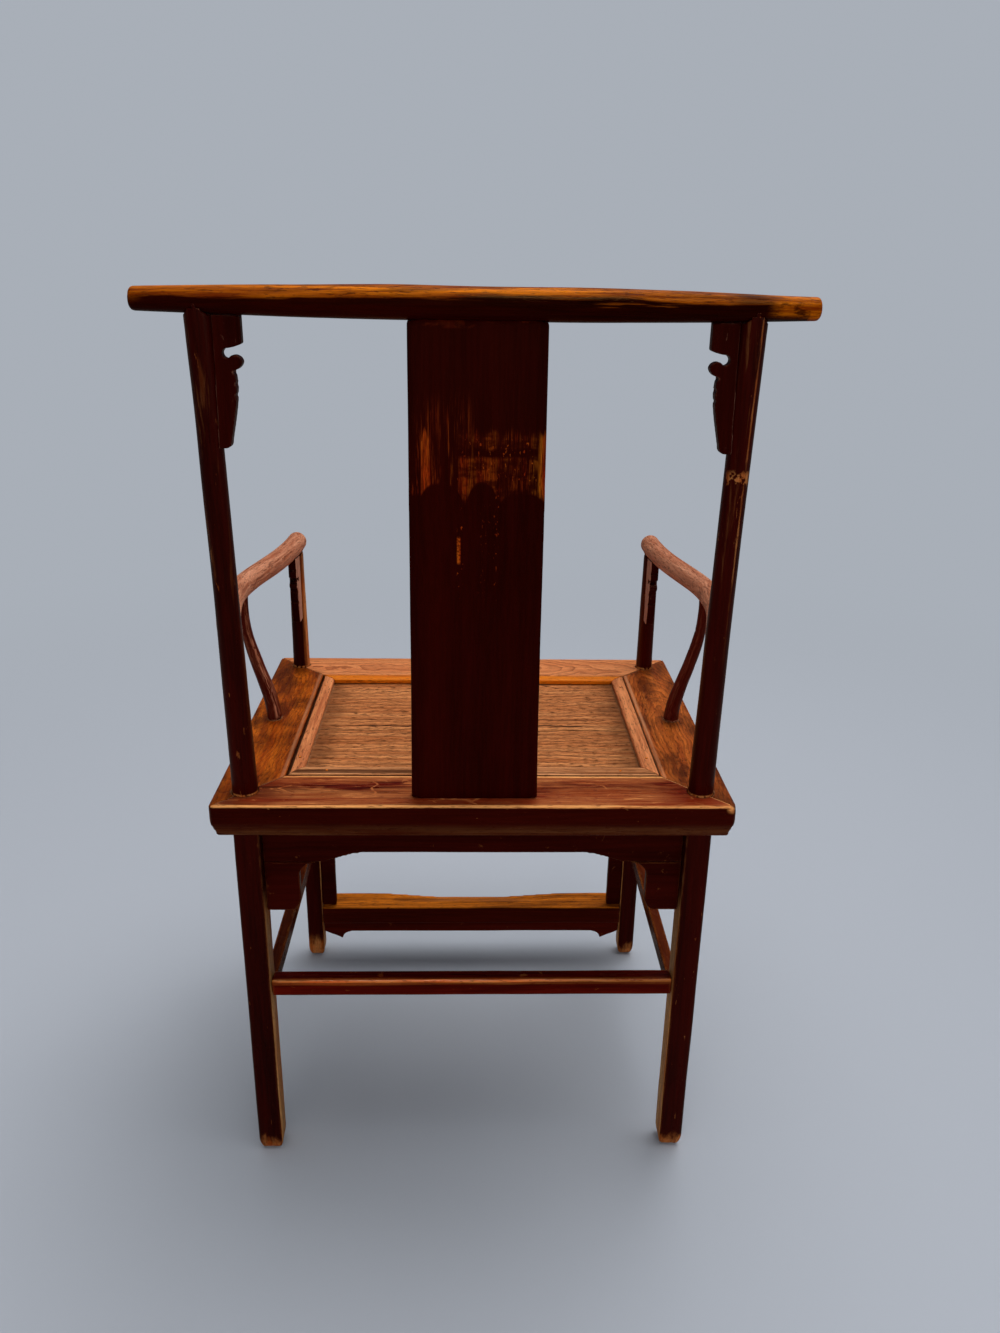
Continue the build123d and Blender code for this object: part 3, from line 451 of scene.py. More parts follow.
sway = calc("MULTIPLY_ADD", ripple, 0.10, wave)
wobble = calc("MULTIPLY", given["Wobble"], 4.0)
bent = calc("ADD", from_heart, calc("MULTIPLY", sway, wobble))
years = calc("DIVIDE", bent, given["Ring Width"])
season = calc("FRACT", years)
rise = calc("POWER", season, 2.6)
fall = below(season, 0.93, 1.0)
feed(result["Rings"], calc("MULTIPLY", rise, fall))
print("group:", growth_rings.name)

# %% [markdown]
# ## Rubbed places
# Lacquer goes where hands and clothes rub it, in patches with ragged, streaky edges. A patch is a
# piece of stretched noise above a threshold. The cover input says how much of the surface is bare.

# %% Rubbed places group
rubbed, given, result = new_group(
    "rubbed places",
    [
        ("Position", "vector", None), ("Along", "vector", (1.0, 1.0, 1.0)),
        ("Scale", "value", 20.0), ("Cover", "value", 0.3), ("Softness", "value", 0.06),
    ],
    ["Bare"],
)
laid = stretch(given["Position"], given["Along"])
patches = noise_value(laid, given["Scale"], 6.0, 0.62, 0.4)
edge_at = calc("SUBTRACT", 0.74, calc("MULTIPLY", given["Cover"], 0.48))
low = calc("SUBTRACT", edge_at, given["Softness"])
high = calc("ADD", edge_at, given["Softness"])
feed(result["Bare"], step(patches, low, high))
print("group:", rubbed.name)

# %% [markdown]
# ## Worn arrises
# Every edge of an old chair is rounded by use and has lost its lacquer first. The Bevel node
# answers with the normal that a rounded edge would have. Where it differs from the true normal
# there is an edge, so the difference is a mask of the arrises, and noise breaks it up.

# %% Worn arrises group
worn_arris, given, result = new_group(
    "worn arrises",
    [
        ("Position", "vector", None), ("Width", "value", 0.003), ("Strength", "value", 1.0),
        ("Scale", "value", 60.0)
    ],
    ["Wear"],
)
rounded = add_node(worn_arris, "ShaderNodeBevel", {"samples": 6}, Radius=given["Width"]).outputs[0]
true_normal = worn_arris.nodes.new("ShaderNodeNewGeometry").outputs["Normal"]
match = vector_calc("DOT_PRODUCT", _0=rounded, _1=true_normal)
differ = inverse(match)
broken = noise_value(given["Position"], given["Scale"], 4.0, 0.6)
wide = calc("MULTIPLY", differ, calc("MULTIPLY", given["Strength"], 9.0))
shown = calc("MULTIPLY", wide, step(broken, 0.30, 0.62, 0.15, 1.0))
feed(result["Wear"], step(shown, 0.05, 0.55))
print("group:", worn_arris.name)

# %% [markdown]
# ## Dust
# Grey dust stays in the corners that a cloth doesn't reach, such as the rings round the feet of
# the posts. Ambient occlusion measures how closed in a point is, which is just that. The beads use
# the same mask as painted shade, to keep their dark lacquer where they meet the rails.

# %% Dust group
corner_dust_and_shade, given, result = new_group(
    "corner dust and shade",
    [("Position", "vector", None), ("Reach", "value", 0.01), ("Amount", "value", 1.0)],
    ["Dust"],
)
closed = add_node(
    corner_dust_and_shade, "ShaderNodeAmbientOcclusion", {"samples": 6}, Distance=given["Reach"]
).outputs["AO"]
near = below(closed, 0.45, 0.85)
patchy = step(noise_value(given["Position"], 130.0, 4.0, 0.6), 0.35, 0.62, 0.25, 1.0)
amount = calc("MULTIPLY", near, patchy)
feed(result["Dust"], calc("MULTIPLY", amount, given["Amount"]))
print("group:", corner_dust_and_shade.name)

# %% [markdown]
# ## Scratches
# Old wax is crossed by fine pale scratches. The borders between the cells of a Voronoi pattern are
# thin lines; squeezed, and shown only where a second noise allows it, they read as scratches.

# %% Scratches group
scratches, given, result = new_group(
    "scratches",
    [
        ("Position", "vector", None), ("Along", "vector", (0.3, 1.0, 1.0)),
        ("Scale", "value", 60.0), ("Thickness", "value", 0.02), ("Cover", "value", 0.4),
    ],
    ["Lines"],
)
laid = stretch(given["Position"], given["Along"])
warped = add_node(
    scratches, "ShaderNodeTexNoise", Vector=laid, Scale=25.0, Detail=2.0
).outputs["Color"]
warped = vector_calc("SCALE", _0=warped, Scale=0.02)
bent_place = vector_calc("ADD", _0=laid, _1=warped)
cells = add_node(
    scratches, "ShaderNodeTexVoronoi", {"feature": "DISTANCE_TO_EDGE"}, Vector=bent_place,
    Scale=given["Scale"]
).outputs["Distance"]
sharp_edge = calc("MULTIPLY", given["Thickness"], 0.3)
lines = below(cells, sharp_edge, given["Thickness"])
shown_at = calc("SUBTRACT", 0.75, calc("MULTIPLY", given["Cover"], 0.45))
shown = step(noise_value(given["Position"], 55.0, 3.0), shown_at, calc("ADD", shown_at, 0.06))
feed(result["Lines"], calc("MULTIPLY", lines, shown))
print("group:", scratches.name)

# %% [markdown]
# ## Lacquer over wood
# Most of the chair has one build-up: brown wood, a dark red lacquer over it, and bare places. One
# recipe makes them all. Each finish gives its own colours and a small function that says where
# the wood is bare. The shader's own constants are set on the shader itself. The warm tint of the
# mirror light is what makes thin old lacquer glow instead of looking like black plastic.

# %% Lacquered wood recipe
def combine(*masks):
    """The largest of several masks."""
    total = masks[0]
    for mask in masks[1:]:
        total = calc("MAXIMUM", total, mask)
    return total


def both(*masks):
    """Masks multiplied: only where all of them are."""
    total = masks[0]
    for mask in masks[1:]:
        total = calc("MULTIPLY", total, mask)
    return total


def axes(place):
    """The x, y and z of a position or a normal."""
    return add_node(place.id_data, "ShaderNodeSeparateXYZ", Vector=place).outputs


def facing(value):
    """The x, y and z of the surface's direction, in the node tree that a value belongs to."""
    return axes(value.id_data.nodes.new("ShaderNodeNewGeometry").outputs["Normal"])


def span(value, low, high, soft):
    """1 between low and high, fading over soft."""
    rise = step(value, low - soft, low + soft)
    return calc("MULTIPLY", rise, below(value, high - soft, high + soft))


def kept_on_mesh(value, name):
    """What the mesh keeps under a name, in the node tree that a value belongs to."""
    return add_node(value.id_data, "ShaderNodeAttribute", {"attribute_name": name}).outputs


def straight_place(place):
    """The position in a curved bar as if the bar were straight."""
    return kept_on_mesh(place, "straight")["Vector"]


def facing_inward(x):
    """How far the surface faces the middle of the chair from its own side, -1 to 1."""
    return calc("MULTIPLY", both(facing(x)["X"], calc("SIGN", x)), -1.0)


def below_seat(z):
    """1 on the legs, 0 on the posts."""
    return below(z, 0.44, 0.46)


def arris_wear(place, width, strength, scale):
    """The mask of the worn arrises."""
    return use_group(
        worn_arris, Position=place, Width=width, Strength=strength, Scale=scale
    )["Wear"]


def bare_patches(place, along, scale, cover, softness):
    """The mask of the rubbed places."""
    made = use_group(
        rubbed, Position=place, Along=along, Scale=scale, Cover=cover, Softness=softness
    )
    return made["Bare"]


def start_material(name):
    """A new material, its shader and the position that its patterns are drawn in."""
    material = bpy.data.materials.new(name)
    material.use_nodes = True
    nodes = material.node_tree.nodes
    return material, nodes["Principled BSDF"], nodes.new("ShaderNodeTexCoord").outputs["Object"]


def set_surface(shader, mirror, glow, relief, height):
    """Sets how strongly and in what colour the shader mirrors, and its fine relief."""
    shader.inputs["Specular IOR Level"].default_value = mirror
    shader.inputs["Specular Tint"].default_value = glow
    bump = add_node(
        height.id_data, "ShaderNodeBump",
        Strength=relief, Distance=RELIEF_DEPTH, Height=height,
    )
    feed(shader.inputs["Normal"], bump.outputs[0])


RELIEF_DEPTH = 0.0006
RED_MIRROR = (1.0, 0.26, 0.14, 1.0)
GOLDEN_MIRROR = (1.0, 0.54, 0.15, 1.0)
PALE_MIRROR = (1.0, 0.52, 0.36, 1.0)


def lacquered_wood(
    name, along, wood, lacquer, bare_places, gloss=0.34, bare_gloss=0.5, mirror=0.22,
    glow=RED_MIRROR, relief=0.35, polish=0.0, bent=False, shade=None, deep=None,
):
    """A material. wood and lacquer are (dark, light); bare_places(place, grain) gives the mask.
    polish is the coat on bare wood, bent lets the grain follow a curve, and shade(place) and
    deep(place) are factors on how light the wood and the lacquer are."""
    material, shader, place = start_material(name)
    laid = straight_place(place) if bent else place
    grain = use_group(fine_grain, Position=laid, Along=along)
    wood_tone = calc("MULTIPLY_ADD", grain["Streaks"], 0.4, both(grain["Fibres"], 0.45))
    wood_tone = calc("MULTIPLY_ADD", grain["Drift"], 0.15, wood_tone)
    if shade:
        wood_tone = both(wood_tone, shade(place))
    bare_colour = blend_colour(wood_tone, linear(wood[0]), linear(wood[1]))
    in_pores = both(grain["Pores"], 0.7)
    bare_colour = blend_colour(in_pores, bare_colour, linear(wood[0], dim=0.3))
    lacquer_tone = calc("MULTIPLY_ADD", grain["Fibres"], 0.3, both(grain["Drift"], 0.5))
    if deep:
        lacquer_tone = both(lacquer_tone, deep(place))
    lacquer_colour = blend_colour(lacquer_tone, linear(lacquer[0]), linear(lacquer[1]))
    bare = bare_places(place, grain)
    feed(shader.inputs["Base Color"], blend_colour(bare, lacquer_colour, bare_colour))
    smears = noise_value(stretch(place, [0.3 + 0.7 * share for share in along]), 60.0, 4.0)
    rough = calc("MULTIPLY_ADD", bare, bare_gloss - gloss, gloss - 0.09)
    feed(shader.inputs["Roughness"], calc("MULTIPLY_ADD", smears, 0.18, rough))
    if polish:
        feed(shader.inputs["Coat Weight"], both(bare, polish))
        shader.inputs["Coat Roughness"].default_value = 0.16
    ridges = calc("SUBTRACT", both(grain["Fibres"], 0.5), grain["Pores"])
    cut = both(ridges, calc("MULTIPLY_ADD", bare, 0.75, 0.25))
    height = calc("MULTIPLY_ADD", noise_value(place, 38.0, 3.0, 0.5), 2.0, cut)
    set_surface(shader, mirror, glow, relief, height)
    return material


print("lacquer recipe ready")

# %% [markdown]
# ## Waxed wood
# The seat has no lacquer on top. It is orange-brown wood whose arched rings are its ornament, with
# dust in the corners. Its recipe adds the growth rings, and a stain that each piece chooses.

# %% Waxed wood recipe
PALE_WOOD = (226, 156, 112)
DRY_DUST = (172, 126, 92)
DUST_REACH = 0.0035
DUST_AMOUNT = 0.9


def waxed_wood(
    name, along, tones, tree_heart, stain, gloss=0.34, mirror=0.24, relief=0.5, pores=0.6,
    ring_mark=0.85, pale=None,
):
    """A material. tones = (dark, middle, light); tree_heart fills the growth rings group; stain and
    pale(place, grain) say where the wood is stained, with a painted shadow on the panel, and where
    it is rubbed pale."""
    material, shader, place = start_material(name)
    grain = use_group(fine_grain, Position=place, Along=along)
    rings = use_group(growth_rings, Position=place, **tree_heart)["Rings"]
    tone = calc("MULTIPLY_ADD", grain["Streaks"], 0.42, both(grain["Fibres"], 0.38))
    tone = calc("MULTIPLY_ADD", grain["Drift"], 0.2, tone)
    colour = blend_colour(tone, linear(tones[1]), linear(tones[2]))
    colour = blend_colour(both(rings, ring_mark), colour, linear(tones[0]))
    colour = blend_colour(both(grain["Pores"], pores), colour, linear(tones[0], dim=0.4))
    mask, stain_colour = stain(place, grain)
    colour = blend_colour(mask, colour, linear(stain_colour))
    if pale:
        colour = blend_colour(pale(place, grain), colour, linear(PALE_WOOD))
    dust = use_group(corner_dust_and_shade, Position=place, Reach=DUST_REACH, Amount=DUST_AMOUNT)["Dust"]
    colour = blend_colour(dust, colour, linear(DRY_DUST))
    feed(shader.inputs["Base Color"], colour)
    rough = calc("MULTIPLY_ADD", noise_value(place, 48.0, 4.0), 0.2, gloss - 0.1)
    rough = calc("MULTIPLY_ADD", grain["Pores"], 0.12, rough)
    feed(shader.inputs["Roughness"], calc("MULTIPLY_ADD", dust, 0.3, rough))
    height = calc("SUBTRACT", both(grain["Fibres"], 0.35), grain["Pores"])
    height = calc("MULTIPLY_ADD", noise_value(place, 30.0, 3.0), 2.0, height)
    height = calc("MULTIPLY_ADD", rings, -0.35, height)
    set_surface(shader, mirror, GOLDEN_MIRROR, relief, height)
    return material


print("wax recipe ready")

# %% [markdown]
# ## Crest rail
# Hands have polished the top of the crest rail down to golden wood, in long streaks that stop
# below the widest point, and have left it wavy. The shape is cut with slow hollows and fine
# ridges, deepest on the upper rear. The bare mask is a step on height above the rail's axis, made
# ragged by noise that runs along the rail. A pale band along the upper rear and a pale patch near
# the sitter's right are painted highlights, and the gold reaching lower there is partly a painted
# sheen.

# %% Crest rail shape
crest_low, crest_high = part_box("crest_rail")
crest_axis_z = (crest_low.z + crest_high.z) / 2


def carve_crest(places, outward):
    """Hollows and ridges along the rail, deepest on the upper rear."""
    up = between(outward[:, 2], -0.2, 0.6)
    rear = between(outward[:, 1], 0.1, 0.8)
    waves = lumps(places, 0.11, (1.0, 0.2, 0.2), 1.4) - 0.35
    ridges = lumps(places, 0.010, (0.09, 1.0, 1.0), 5.2) - 0.5
    depth = 0.0011 * up * waves + 0.00035 * (0.4 + rear) * ridges
    return places + outward * np.minimum(depth, 0.0)[:, None]


worn_copy("crest_rail", X_GRAIN, voxel=0.0015, uneven=0.0003, keep=0.34, carve=carve_crest)
print(
    "crest rail axis at z", round(crest_axis_z, 4), "faces",
    len(detailed["crest_rail"].data.polygons)
)


# %% Crest rail finish
def crest_bare_and_highlight(place, grain):
    """Golden on top in streaks, a painted highlight patch, and the right end bare all round."""
    x, _, z = axes(place)
    streaks = streak_noise(place, (0.07, 1, 1), 140.0, 5.0, 0.6)
    waves = streak_noise(place, (0.32, 1, 1), 20.0, 3.0, 0.5)
    height = calc("SUBTRACT", z, crest_axis_z)
    ragged = ragged_by(height, streaks, 0.012)
    ragged = ragged_by(ragged, waves, 0.011)
    hairs = streak_noise(place, (0.035, 1, 1), 520.0, 4.0, 0.6)
    ragged = calc("ADD", ragged, step(x, -0.02, 0.26, -0.0026, 0.0012))
    # The gold reaches lower near the sitter's right: worn wood, partly a painted sheen.
    ragged = calc("MULTIPLY_ADD", span(x, -0.240, -0.140, 0.03), 0.0034, ragged)
    top = step(ragged, 0.0018, 0.0054)
    rubbed_off = both(top, step(streaks, 0.34, 0.50, 0.55, 1.0), step(hairs, 0.34, 0.52, 0.6, 1.0))
    dusk = span(x, -0.266, -0.232, 0.014)
    rubbed_off = both(rubbed_off, calc("MULTIPLY_ADD", dusk, -0.65, 1.0))
    rubbed_off = both(rubbed_off, step(x, -0.17, -0.07, 0.9, 1.0))
    wavy = ragged_by(height, waves, 0.016)
    pale_line = both(span(wavy, 0.0036, 0.0046, 0.0006), step(streaks, 0.42, 0.56), 0.3)
    # A painted highlight: a pale patch at the height of the axis near the sitter's right.
    painted_highlight_patch = both(span(wavy, -0.0026, 0.0016, 0.0010), step(hairs, 0.44, 0.58), 0.55)
    painted_highlight_patch = both(painted_highlight_patch, span(x, -0.188, -0.112, 0.012))
    mottled = step(streak_noise(place, (0.5, 1, 1), 120.0, 5.0, 0.6), 0.38, 0.52, 0.2, 1.0)
    right_end = both(below(x, -0.283, -0.262), step(height, -0.011, -0.002), mottled)
    right_end = combine(right_end, step(x, -0.3055, -0.301, 0.95, 0.0))
    left_end = both(step(x, 0.298, 0.312), step(ragged, -0.004, 0.006), 0.6)
    return combine(rubbed_off, pale_line, painted_highlight_patch, right_end, left_end)


def crest_shade(place):
    """A painted highlight: a long pale band on the upper rear; the gold is darker toward the axis.
    """
    x, _, z = axes(place)
    waves = streak_noise(place, (0.32, 1, 1), 20.0, 3.0, 0.5)
    height = calc("SUBTRACT", z, crest_axis_z)
    wavy = ragged_by(height, waves, 0.010)
    band = both(span(wavy, 0.0100, 0.0128, 0.0012), span(x, -0.10, 0.16, 0.04))
    lower = both(step(height, 0.002, 0.0090, 0.5, 0.0), step(x, -0.27, -0.25))
    return calc("MULTIPLY_ADD", band, 1.6, inverse(lower))


crest_finish = lacquered_wood(
    "crest rail lacquer", X_GRAIN, ((112, 28, 1), (255, 140, 10)),
    ((24, 0, 0), (60, 4, 1)), crest_bare_and_highlight, gloss=0.26, bare_gloss=0.30, mirror=0.05,
    glow=GOLDEN_MIRROR, shade=crest_shade,
)
dress(crest_finish, "crest_rail", "crest_rail_pegs")
print("crest rail dressed")

# %% [markdown]
# ## Back splat
# The back of the splat is almost black, with one worn belt where it has leaned against walls:
# upright streaks on the sitter's left, a banded patch in the middle and a bright strip at the
# sitter's right edge. Below the belt the lacquer ends in rounded lobes, as if it had run. Each
# region is a box with soft sides, filled with noise that runs up and down.

# %% Splat shape
def carve_splat(places, outward):
    """A board planed by hand: very shallow upright hollows."""
    hollows = lumps(places, 0.030, (1.0, 1.0, 0.12), 9.1) - 0.6
    return places + outward * (0.00025 * hollows)[:, None]


worn_copy(
    "back_splat", Z_GRAIN, voxel=0.0019, rounding=3, uneven=0.0002, keep=0.22, carve=carve_splat
)
print("splat faces", len(detailed["back_splat"].data.polygons))

# %% Splat wear
belt_top = 0.893
streak_top = 0.925
left_streaks = (0.0455, 0.0535)
middle_patch = (-0.0195, 0.0175)
right_strip = (-0.074, -0.0600)


def lobe(x, z, middle, half_width, top):
    """A round-topped tongue of lacquer that hides the belt below its rim."""
    offset = calc("DIVIDE", calc("SUBTRACT", x, middle), half_width)
    fallen = calc("POWER", absolute(offset), 3.2)
    rim = calc("MULTIPLY_ADD", fallen, -0.010, top)
    return below(calc("SUBTRACT", z, rim), -0.0022, 0.0022)


def splat_bare(place, grain):
    """The worn belt, the lobes under it and flecks below them."""
    x, y, z = axes(place)
    back_face = step(y, 0.2065, 0.2095)
    hairs = step(streak_noise(place, (1, 1, 0.03), 780.0, 4.0, 0.6), 0.42, 0.60)
    half_hairs = calc("MULTIPLY_ADD", hairs, 0.7, 0.3)
    upright = streak_noise(place, (1, 1, 0.06), 260.0, 5.0, 0.62)
    streaks = step(upright, 0.45, 0.62)
    blots = streak_noise(place, (1, 1, 1.7), 62.0, 4.0, 0.55)
    patches = step(blots, 0.38, 0.62, 0.15, 1.0)
    jitter = ragged_by(z, upright, 0.030)
    belt = below(jitter, belt_top - 0.006, belt_top + 0.004)
    long_belt = below(jitter, belt_top, streak_top + 0.014)
    left = both(span(x, *left_streaks, 0.0016), belt, half_hairs)
    red_haze = both(span(x, 0.006, 0.064, 0.006), long_belt, streaks, hairs, 0.34)
    dark_band = span(calc("MULTIPLY_ADD", blots, 0.008, z), 0.8745, 0.8825, 0.002)
    banded = both(belt, patches, inverse(dark_band))
    middle = both(span(x, *middle_patch, 0.002), banded, half_hairs, 0.50)
    wide = both(span(x, -0.0605, -0.016, 0.003), banded, hairs, 0.22)
    right = both(span(x, *right_strip, 0.0024), belt, half_hairs, 0.80)
    lobes = combine(
        lobe(x, z, 0.0350, 0.0180, 0.8450), lobe(x, z, 0.0620, 0.0130, 0.8335),
        lobe(x, z, -0.0054, 0.0125, 0.8457), lobe(x, z, -0.0447, 0.0215, 0.8360),
    )
    above = inverse(lobes)
    fade = step(jitter, 0.822, 0.838)
    worn = both(combine(left, red_haze, middle, wide, right), above, fade)
    flecks = step(streak_noise(place, (1, 1, 0.45), 420.0, 2.0, 0.5), 0.64, 0.70)
    columns = combine(
        span(x, 0.0135, 0.0190, 0.001), both(span(x, -0.0215, -0.0165, 0.001), 0.8),
        both(span(x, -0.014, -0.002, 0.003), 0.25),
    )
    fleck_zone = both(columns, span(z, 0.735, 0.862, 0.02), 0.75)
    belt_flecks = both(span(x, -0.060, 0.0175, 0.004), span(z, 0.846, 0.888, 0.004), 0.6)
    drip = both(span(x, 0.0158, 0.0192, 0.0007), span(z, 0.7640, 0.7905, 0.002))
    drip = both(drip, step(noise_value(place, 420.0, 3.0), 0.38, 0.58, 0.25, 0.9))
    arris = arris_wear(place, width=0.0016, strength=0.6, scale=50.0)
    on_back = combine(worn, both(flecks, combine(fleck_zone, both(belt_flecks, above))), drip)
    head_dust = both(step(z, 0.9865, 0.9885), step(blots, 0.5, 0.62), 0.08)
    return combine(both(on_back, back_face), both(arris, 0.3), head_dust)


def splat_shade(place):
    """Golden wood at the sitter's right edge, redder wood elsewhere."""
    x = axes(place)["X"]
    return both(step(x, -0.058, -0.048, 1.0, 0.45), step(x, 0.022, 0.034, 1.0, 0.62))


splat_finish = lacquered_wood(
    "splat lacquer", Z_GRAIN, ((176, 40, 10), (255, 150, 34)),
    ((33, 0, 0), (58, 4, 2)), splat_bare, gloss=0.34, bare_gloss=0.42, mirror=0.12,
    shade=splat_shade,
)
dress(splat_finish, "back_splat")
print("splat dressed")

# %% [markdown]
# ## Posts and legs
# A post and its leg are one piece of wood with one finish. The lacquer is darkest behind, the
# arrises of the square legs are rubbed red-brown, the faces that look inward are nearly bare, and
# the bottoms of the feet are golden and rounded, because they are wiped and kicked every day.
# The inward faces of the legs and of the sitter's left front post are also painted lighter, as the
# light that falls on them, and a pale line down the sitter's right rear post is a painted
# highlight.

# %% Post and leg shape
POST_X = 0.2505
WORN_FOOT = 0.018


def round_feet(places, outward):
    """Takes the corners off the bottom of a leg."""
    centre = np.array(
        [np.sign(places[:, 0]) * POST_X, np.where(places[:, 1] > 0, 0.193, -0.2), places[:, 2]]
    ).T
    low = 1.0 - np.clip(places[:, 2] / WORN_FOOT, 0.0, 1.0)
    away = (places - centre) * np.array([1.0, 1.0, 0.0])
    nibbled = 1.0 + 0.25 * lumps(places, 0.006, (1.0, 1.0, 0.6), 2.2)
    return places - away * (0.50 * (1.0 - np.sqrt(1.0 - low * low * 0.98)) * nibbled)[:, None]


def joint_zone(places):
    """1 where a post meets the rail or the arm above it and its edges are still whole."""
    post_top = places[:, 2].max()
    head = between(places[:, 2], post_top - 0.034, post_top - 0.022)
    beside_board = between(places[:, 2], 0.87, 0.89) * between(
        -np.abs(places[:, 0]), -0.249, -0.243
    )
    return np.maximum(head, beside_board)


for post in ("rear_post_left", "rear_post_right", "front_post_left", "front_post_right"):
    worn_copy(
        post, Z_GRAIN, voxel=0.0019, rounding=6, uneven=0.0005, keep=0.26, carve=round_feet,
        sound=joint_zone
    )
    print(post, "faces", len(detailed[post].data.polygons))


# %% Post and leg finish
def front_left(x, y, right_share=0.0):
    """1 at the sitter's left front post, right_share at the right one, 0 at the rear posts."""
    in_front = below(y, -0.15, -0.1)
    return both(in_front, step(x, 0.0, 0.1, right_share, 1.0))


def post_bare_and_highlight(place, grain):
    """Worn arrises, pale inner faces below the seat, golden feet and a painted highlight line."""
    x, y, z = axes(place)
    normal = facing(place)
    inward = facing_inward(x)
    leg = below_seat(z)
    shin = both(step(z, 0.20, 0.27, 1.0, 0.55), below(z, 0.345, 0.385))
    streaks = streak_noise(place, (1, 1, 0.08), 190.0, 4.0, 0.6)
    inner = both(step(inward, 0.55, 0.85), leg, shin, step(streaks, 0.25, 0.55, 0.6, 1.0))
    arris = arris_wear(place, width=0.0034, strength=1.1, scale=34.0)
    arris = both(arris, leg, 0.42)
    foot_line = calc("MULTIPLY_ADD", streak_noise(place, (1, 1, 0.5), 110.0, 5.0), 0.05, z)
    foot = step(foot_line, 0.026, 0.050, 0.95, 0.0)
    kicked = front_left(x, y)
    foot = combine(foot, both(below(foot_line, 0.036, 0.068), kicked))
    post = inverse(leg)
    front = front_left(x, y, right_share=0.1)
    # golden_side is worn wood on the inward side of the sitter's left front post, partly painted
    # light.
    golden_side = both(step(inward, 0.45, 0.9), post, front, step(streaks, 0.3, 0.6, 0.35, 1.0))
    golden_side = both(golden_side, step(z, 0.60, 0.68, 1.0, 0.3))
    flecks = bare_patches(place, (1.0, 1.0, 0.25), scale=170.0, cover=0.13, softness=0.02)
    runs = bare_patches(place, (1.0, 1.0, 0.05), scale=120.0, cover=0.30, softness=0.05)
    runs = both(runs, step(normal["Y"], 0.3, 0.8), step(z, 0.68, 0.76), 0.12)
    # A painted highlight: a pale line down the sitter's right rear post, where the side strip is
    # mirrored.
    painted_highlight_line = both(span(normal["X"], -0.50, -0.38, 0.05), step(streaks, 0.36, 0.52), 0.55)
    painted_highlight_line = both(painted_highlight_line, step(z, 0.64, 0.80), below(x, -0.1, 0.0))
    painted_highlight_line = both(painted_highlight_line, step(normal["Y"], 0.1, 0.3))
    ring_edge = noise_value(place, 240.0, 3.0)
    dust_ring = both(span(z, 0.4990, 0.5016, 0.0006), step(ring_edge, 0.36, 0.50), 0.8)
    worn_spot = both(span(z, 0.846, 0.858, 0.004), below(x, -0.1, 0.0))
    worn_spot = both(
        worn_spot, step(noise_value(place, 150.0, 4.0), 0.48, 0.56), step(normal["Y"], 0.2, 0.8),
        0.8
    )
    return combine(
        inner, arris, foot, golden_side, both(flecks, 0.35), runs, painted_highlight_line, worn_spot, dust_ring
    )


def post_shade(place):
    """Painted light on the lit inward faces of legs and left front post; the feet the most golden.
    """
    x, y, z = axes(place)
    inward = facing_inward(x)
    # pale is painted light: the bare inward faces of the legs are made palest, as lit faces.
    pale = both(step(inward, 0.7, 0.95), below_seat(z), 0.8)
    # golden is painted light: the inward side of the sitter's left front post is made lighter.
    golden = both(front_left(x, y), step(inward, 0.45, 0.9), step(z, 0.46, 0.50), 0.2)
    return both(calc("ADD", combine(pale, golden), 0.55), step(z, 0.02, 0.06, 0.8, 1.0))


post_finish = lacquered_wood(
    "post lacquer", Z_GRAIN, ((188, 80, 14), (255, 196, 122)),
    ((33, 1, 1), (72, 8, 4)), post_bare_and_highlight, gloss=0.30, bare_gloss=0.42, mirror=0.10, glow=PALE_MIRROR,
    shade=post_shade,
)
dress(post_finish, "rear_post_left", "rear_post_right", "front_post_left", "front_post_right")
print("posts and legs dressed")

# %% [markdown]
# ## Arms and struts
# The arms have hardly any lacquer left: dry, pinkish wood with long grain, blotches and open
# cracks. The struts still have most of theirs, rubbed off on the sides toward middle and rear.

# %% Arm and strut shapes
def carve_arm(places, outward):
    """Long shallow facets, as a spokeshave leaves them."""
    facets = lumps(places, 0.022, (1.0, 0.25, 1.0), 4.4) - 0.5
    cracks = between(lumps(places, 0.0045, (1.0, 0.045, 1.0), 8.8), 0.42, 0.62)
    return places + outward * (0.0005 * facets - 0.0004 * cracks)[:, None]


for arm in ("arm_left", "arm_right"):
    worn_copy(
        arm, Y_GRAIN, voxel=0.0014, rounding=3, uneven=0.0003, keep=0.4, carve=carve_arm, bent=1
    )
for strut in ("arm_strut_left", "arm_strut_right"):
    worn_copy(
        strut, Z_GRAIN, voxel=0.0013, rounding=3, uneven=0.0003, keep=0.45, carve=carve_arm, bent=2
    )
print(
    "arms and struts:",
    [len(detailed[name].data.polygons) for name in ("arm_left", "arm_strut_left")]
)


# %% Arm and strut finishes
def arm_bare(place, grain):
    """Bare nearly all over, with dark cracks along the grain and a little lacquer in blotches."""
    straight = straight_place(place)
    cracks = streak_noise(straight, (1.0, 0.03, 1.0), 420.0, 3.0, 0.55)
    crack_mask = step(cracks, 0.60, 0.67, 1.0, 0.45)
    blotches = step(streak_noise(place, (1.0, 0.4, 1.0), 40.0, 5.0), 0.33, 0.5, 0.78, 1.0)
    return both(crack_mask, blotches)


def arm_shade(place):
    """Painted sheen, palest toward the rear; painted shade, browner on the sitter's right."""
    x, y, _ = axes(place)
    painted_sheen = step(y, -0.02, 0.16, 1.0, 1.6)
    return both(painted_sheen, step(x, -0.1, 0.1, 0.84, 1.0))


arm_finish = lacquered_wood(
    "arm wood", Y_GRAIN, ((164, 88, 56), (242, 172, 136)),
    ((84, 32, 16), (150, 68, 34)), arm_bare, gloss=0.45, bare_gloss=0.50, mirror=0.2,
    glow=PALE_MIRROR, relief=0.55, bent=True, shade=arm_shade,
)
dress(arm_finish, "arm_left", "arm_right", "arm_pegs")


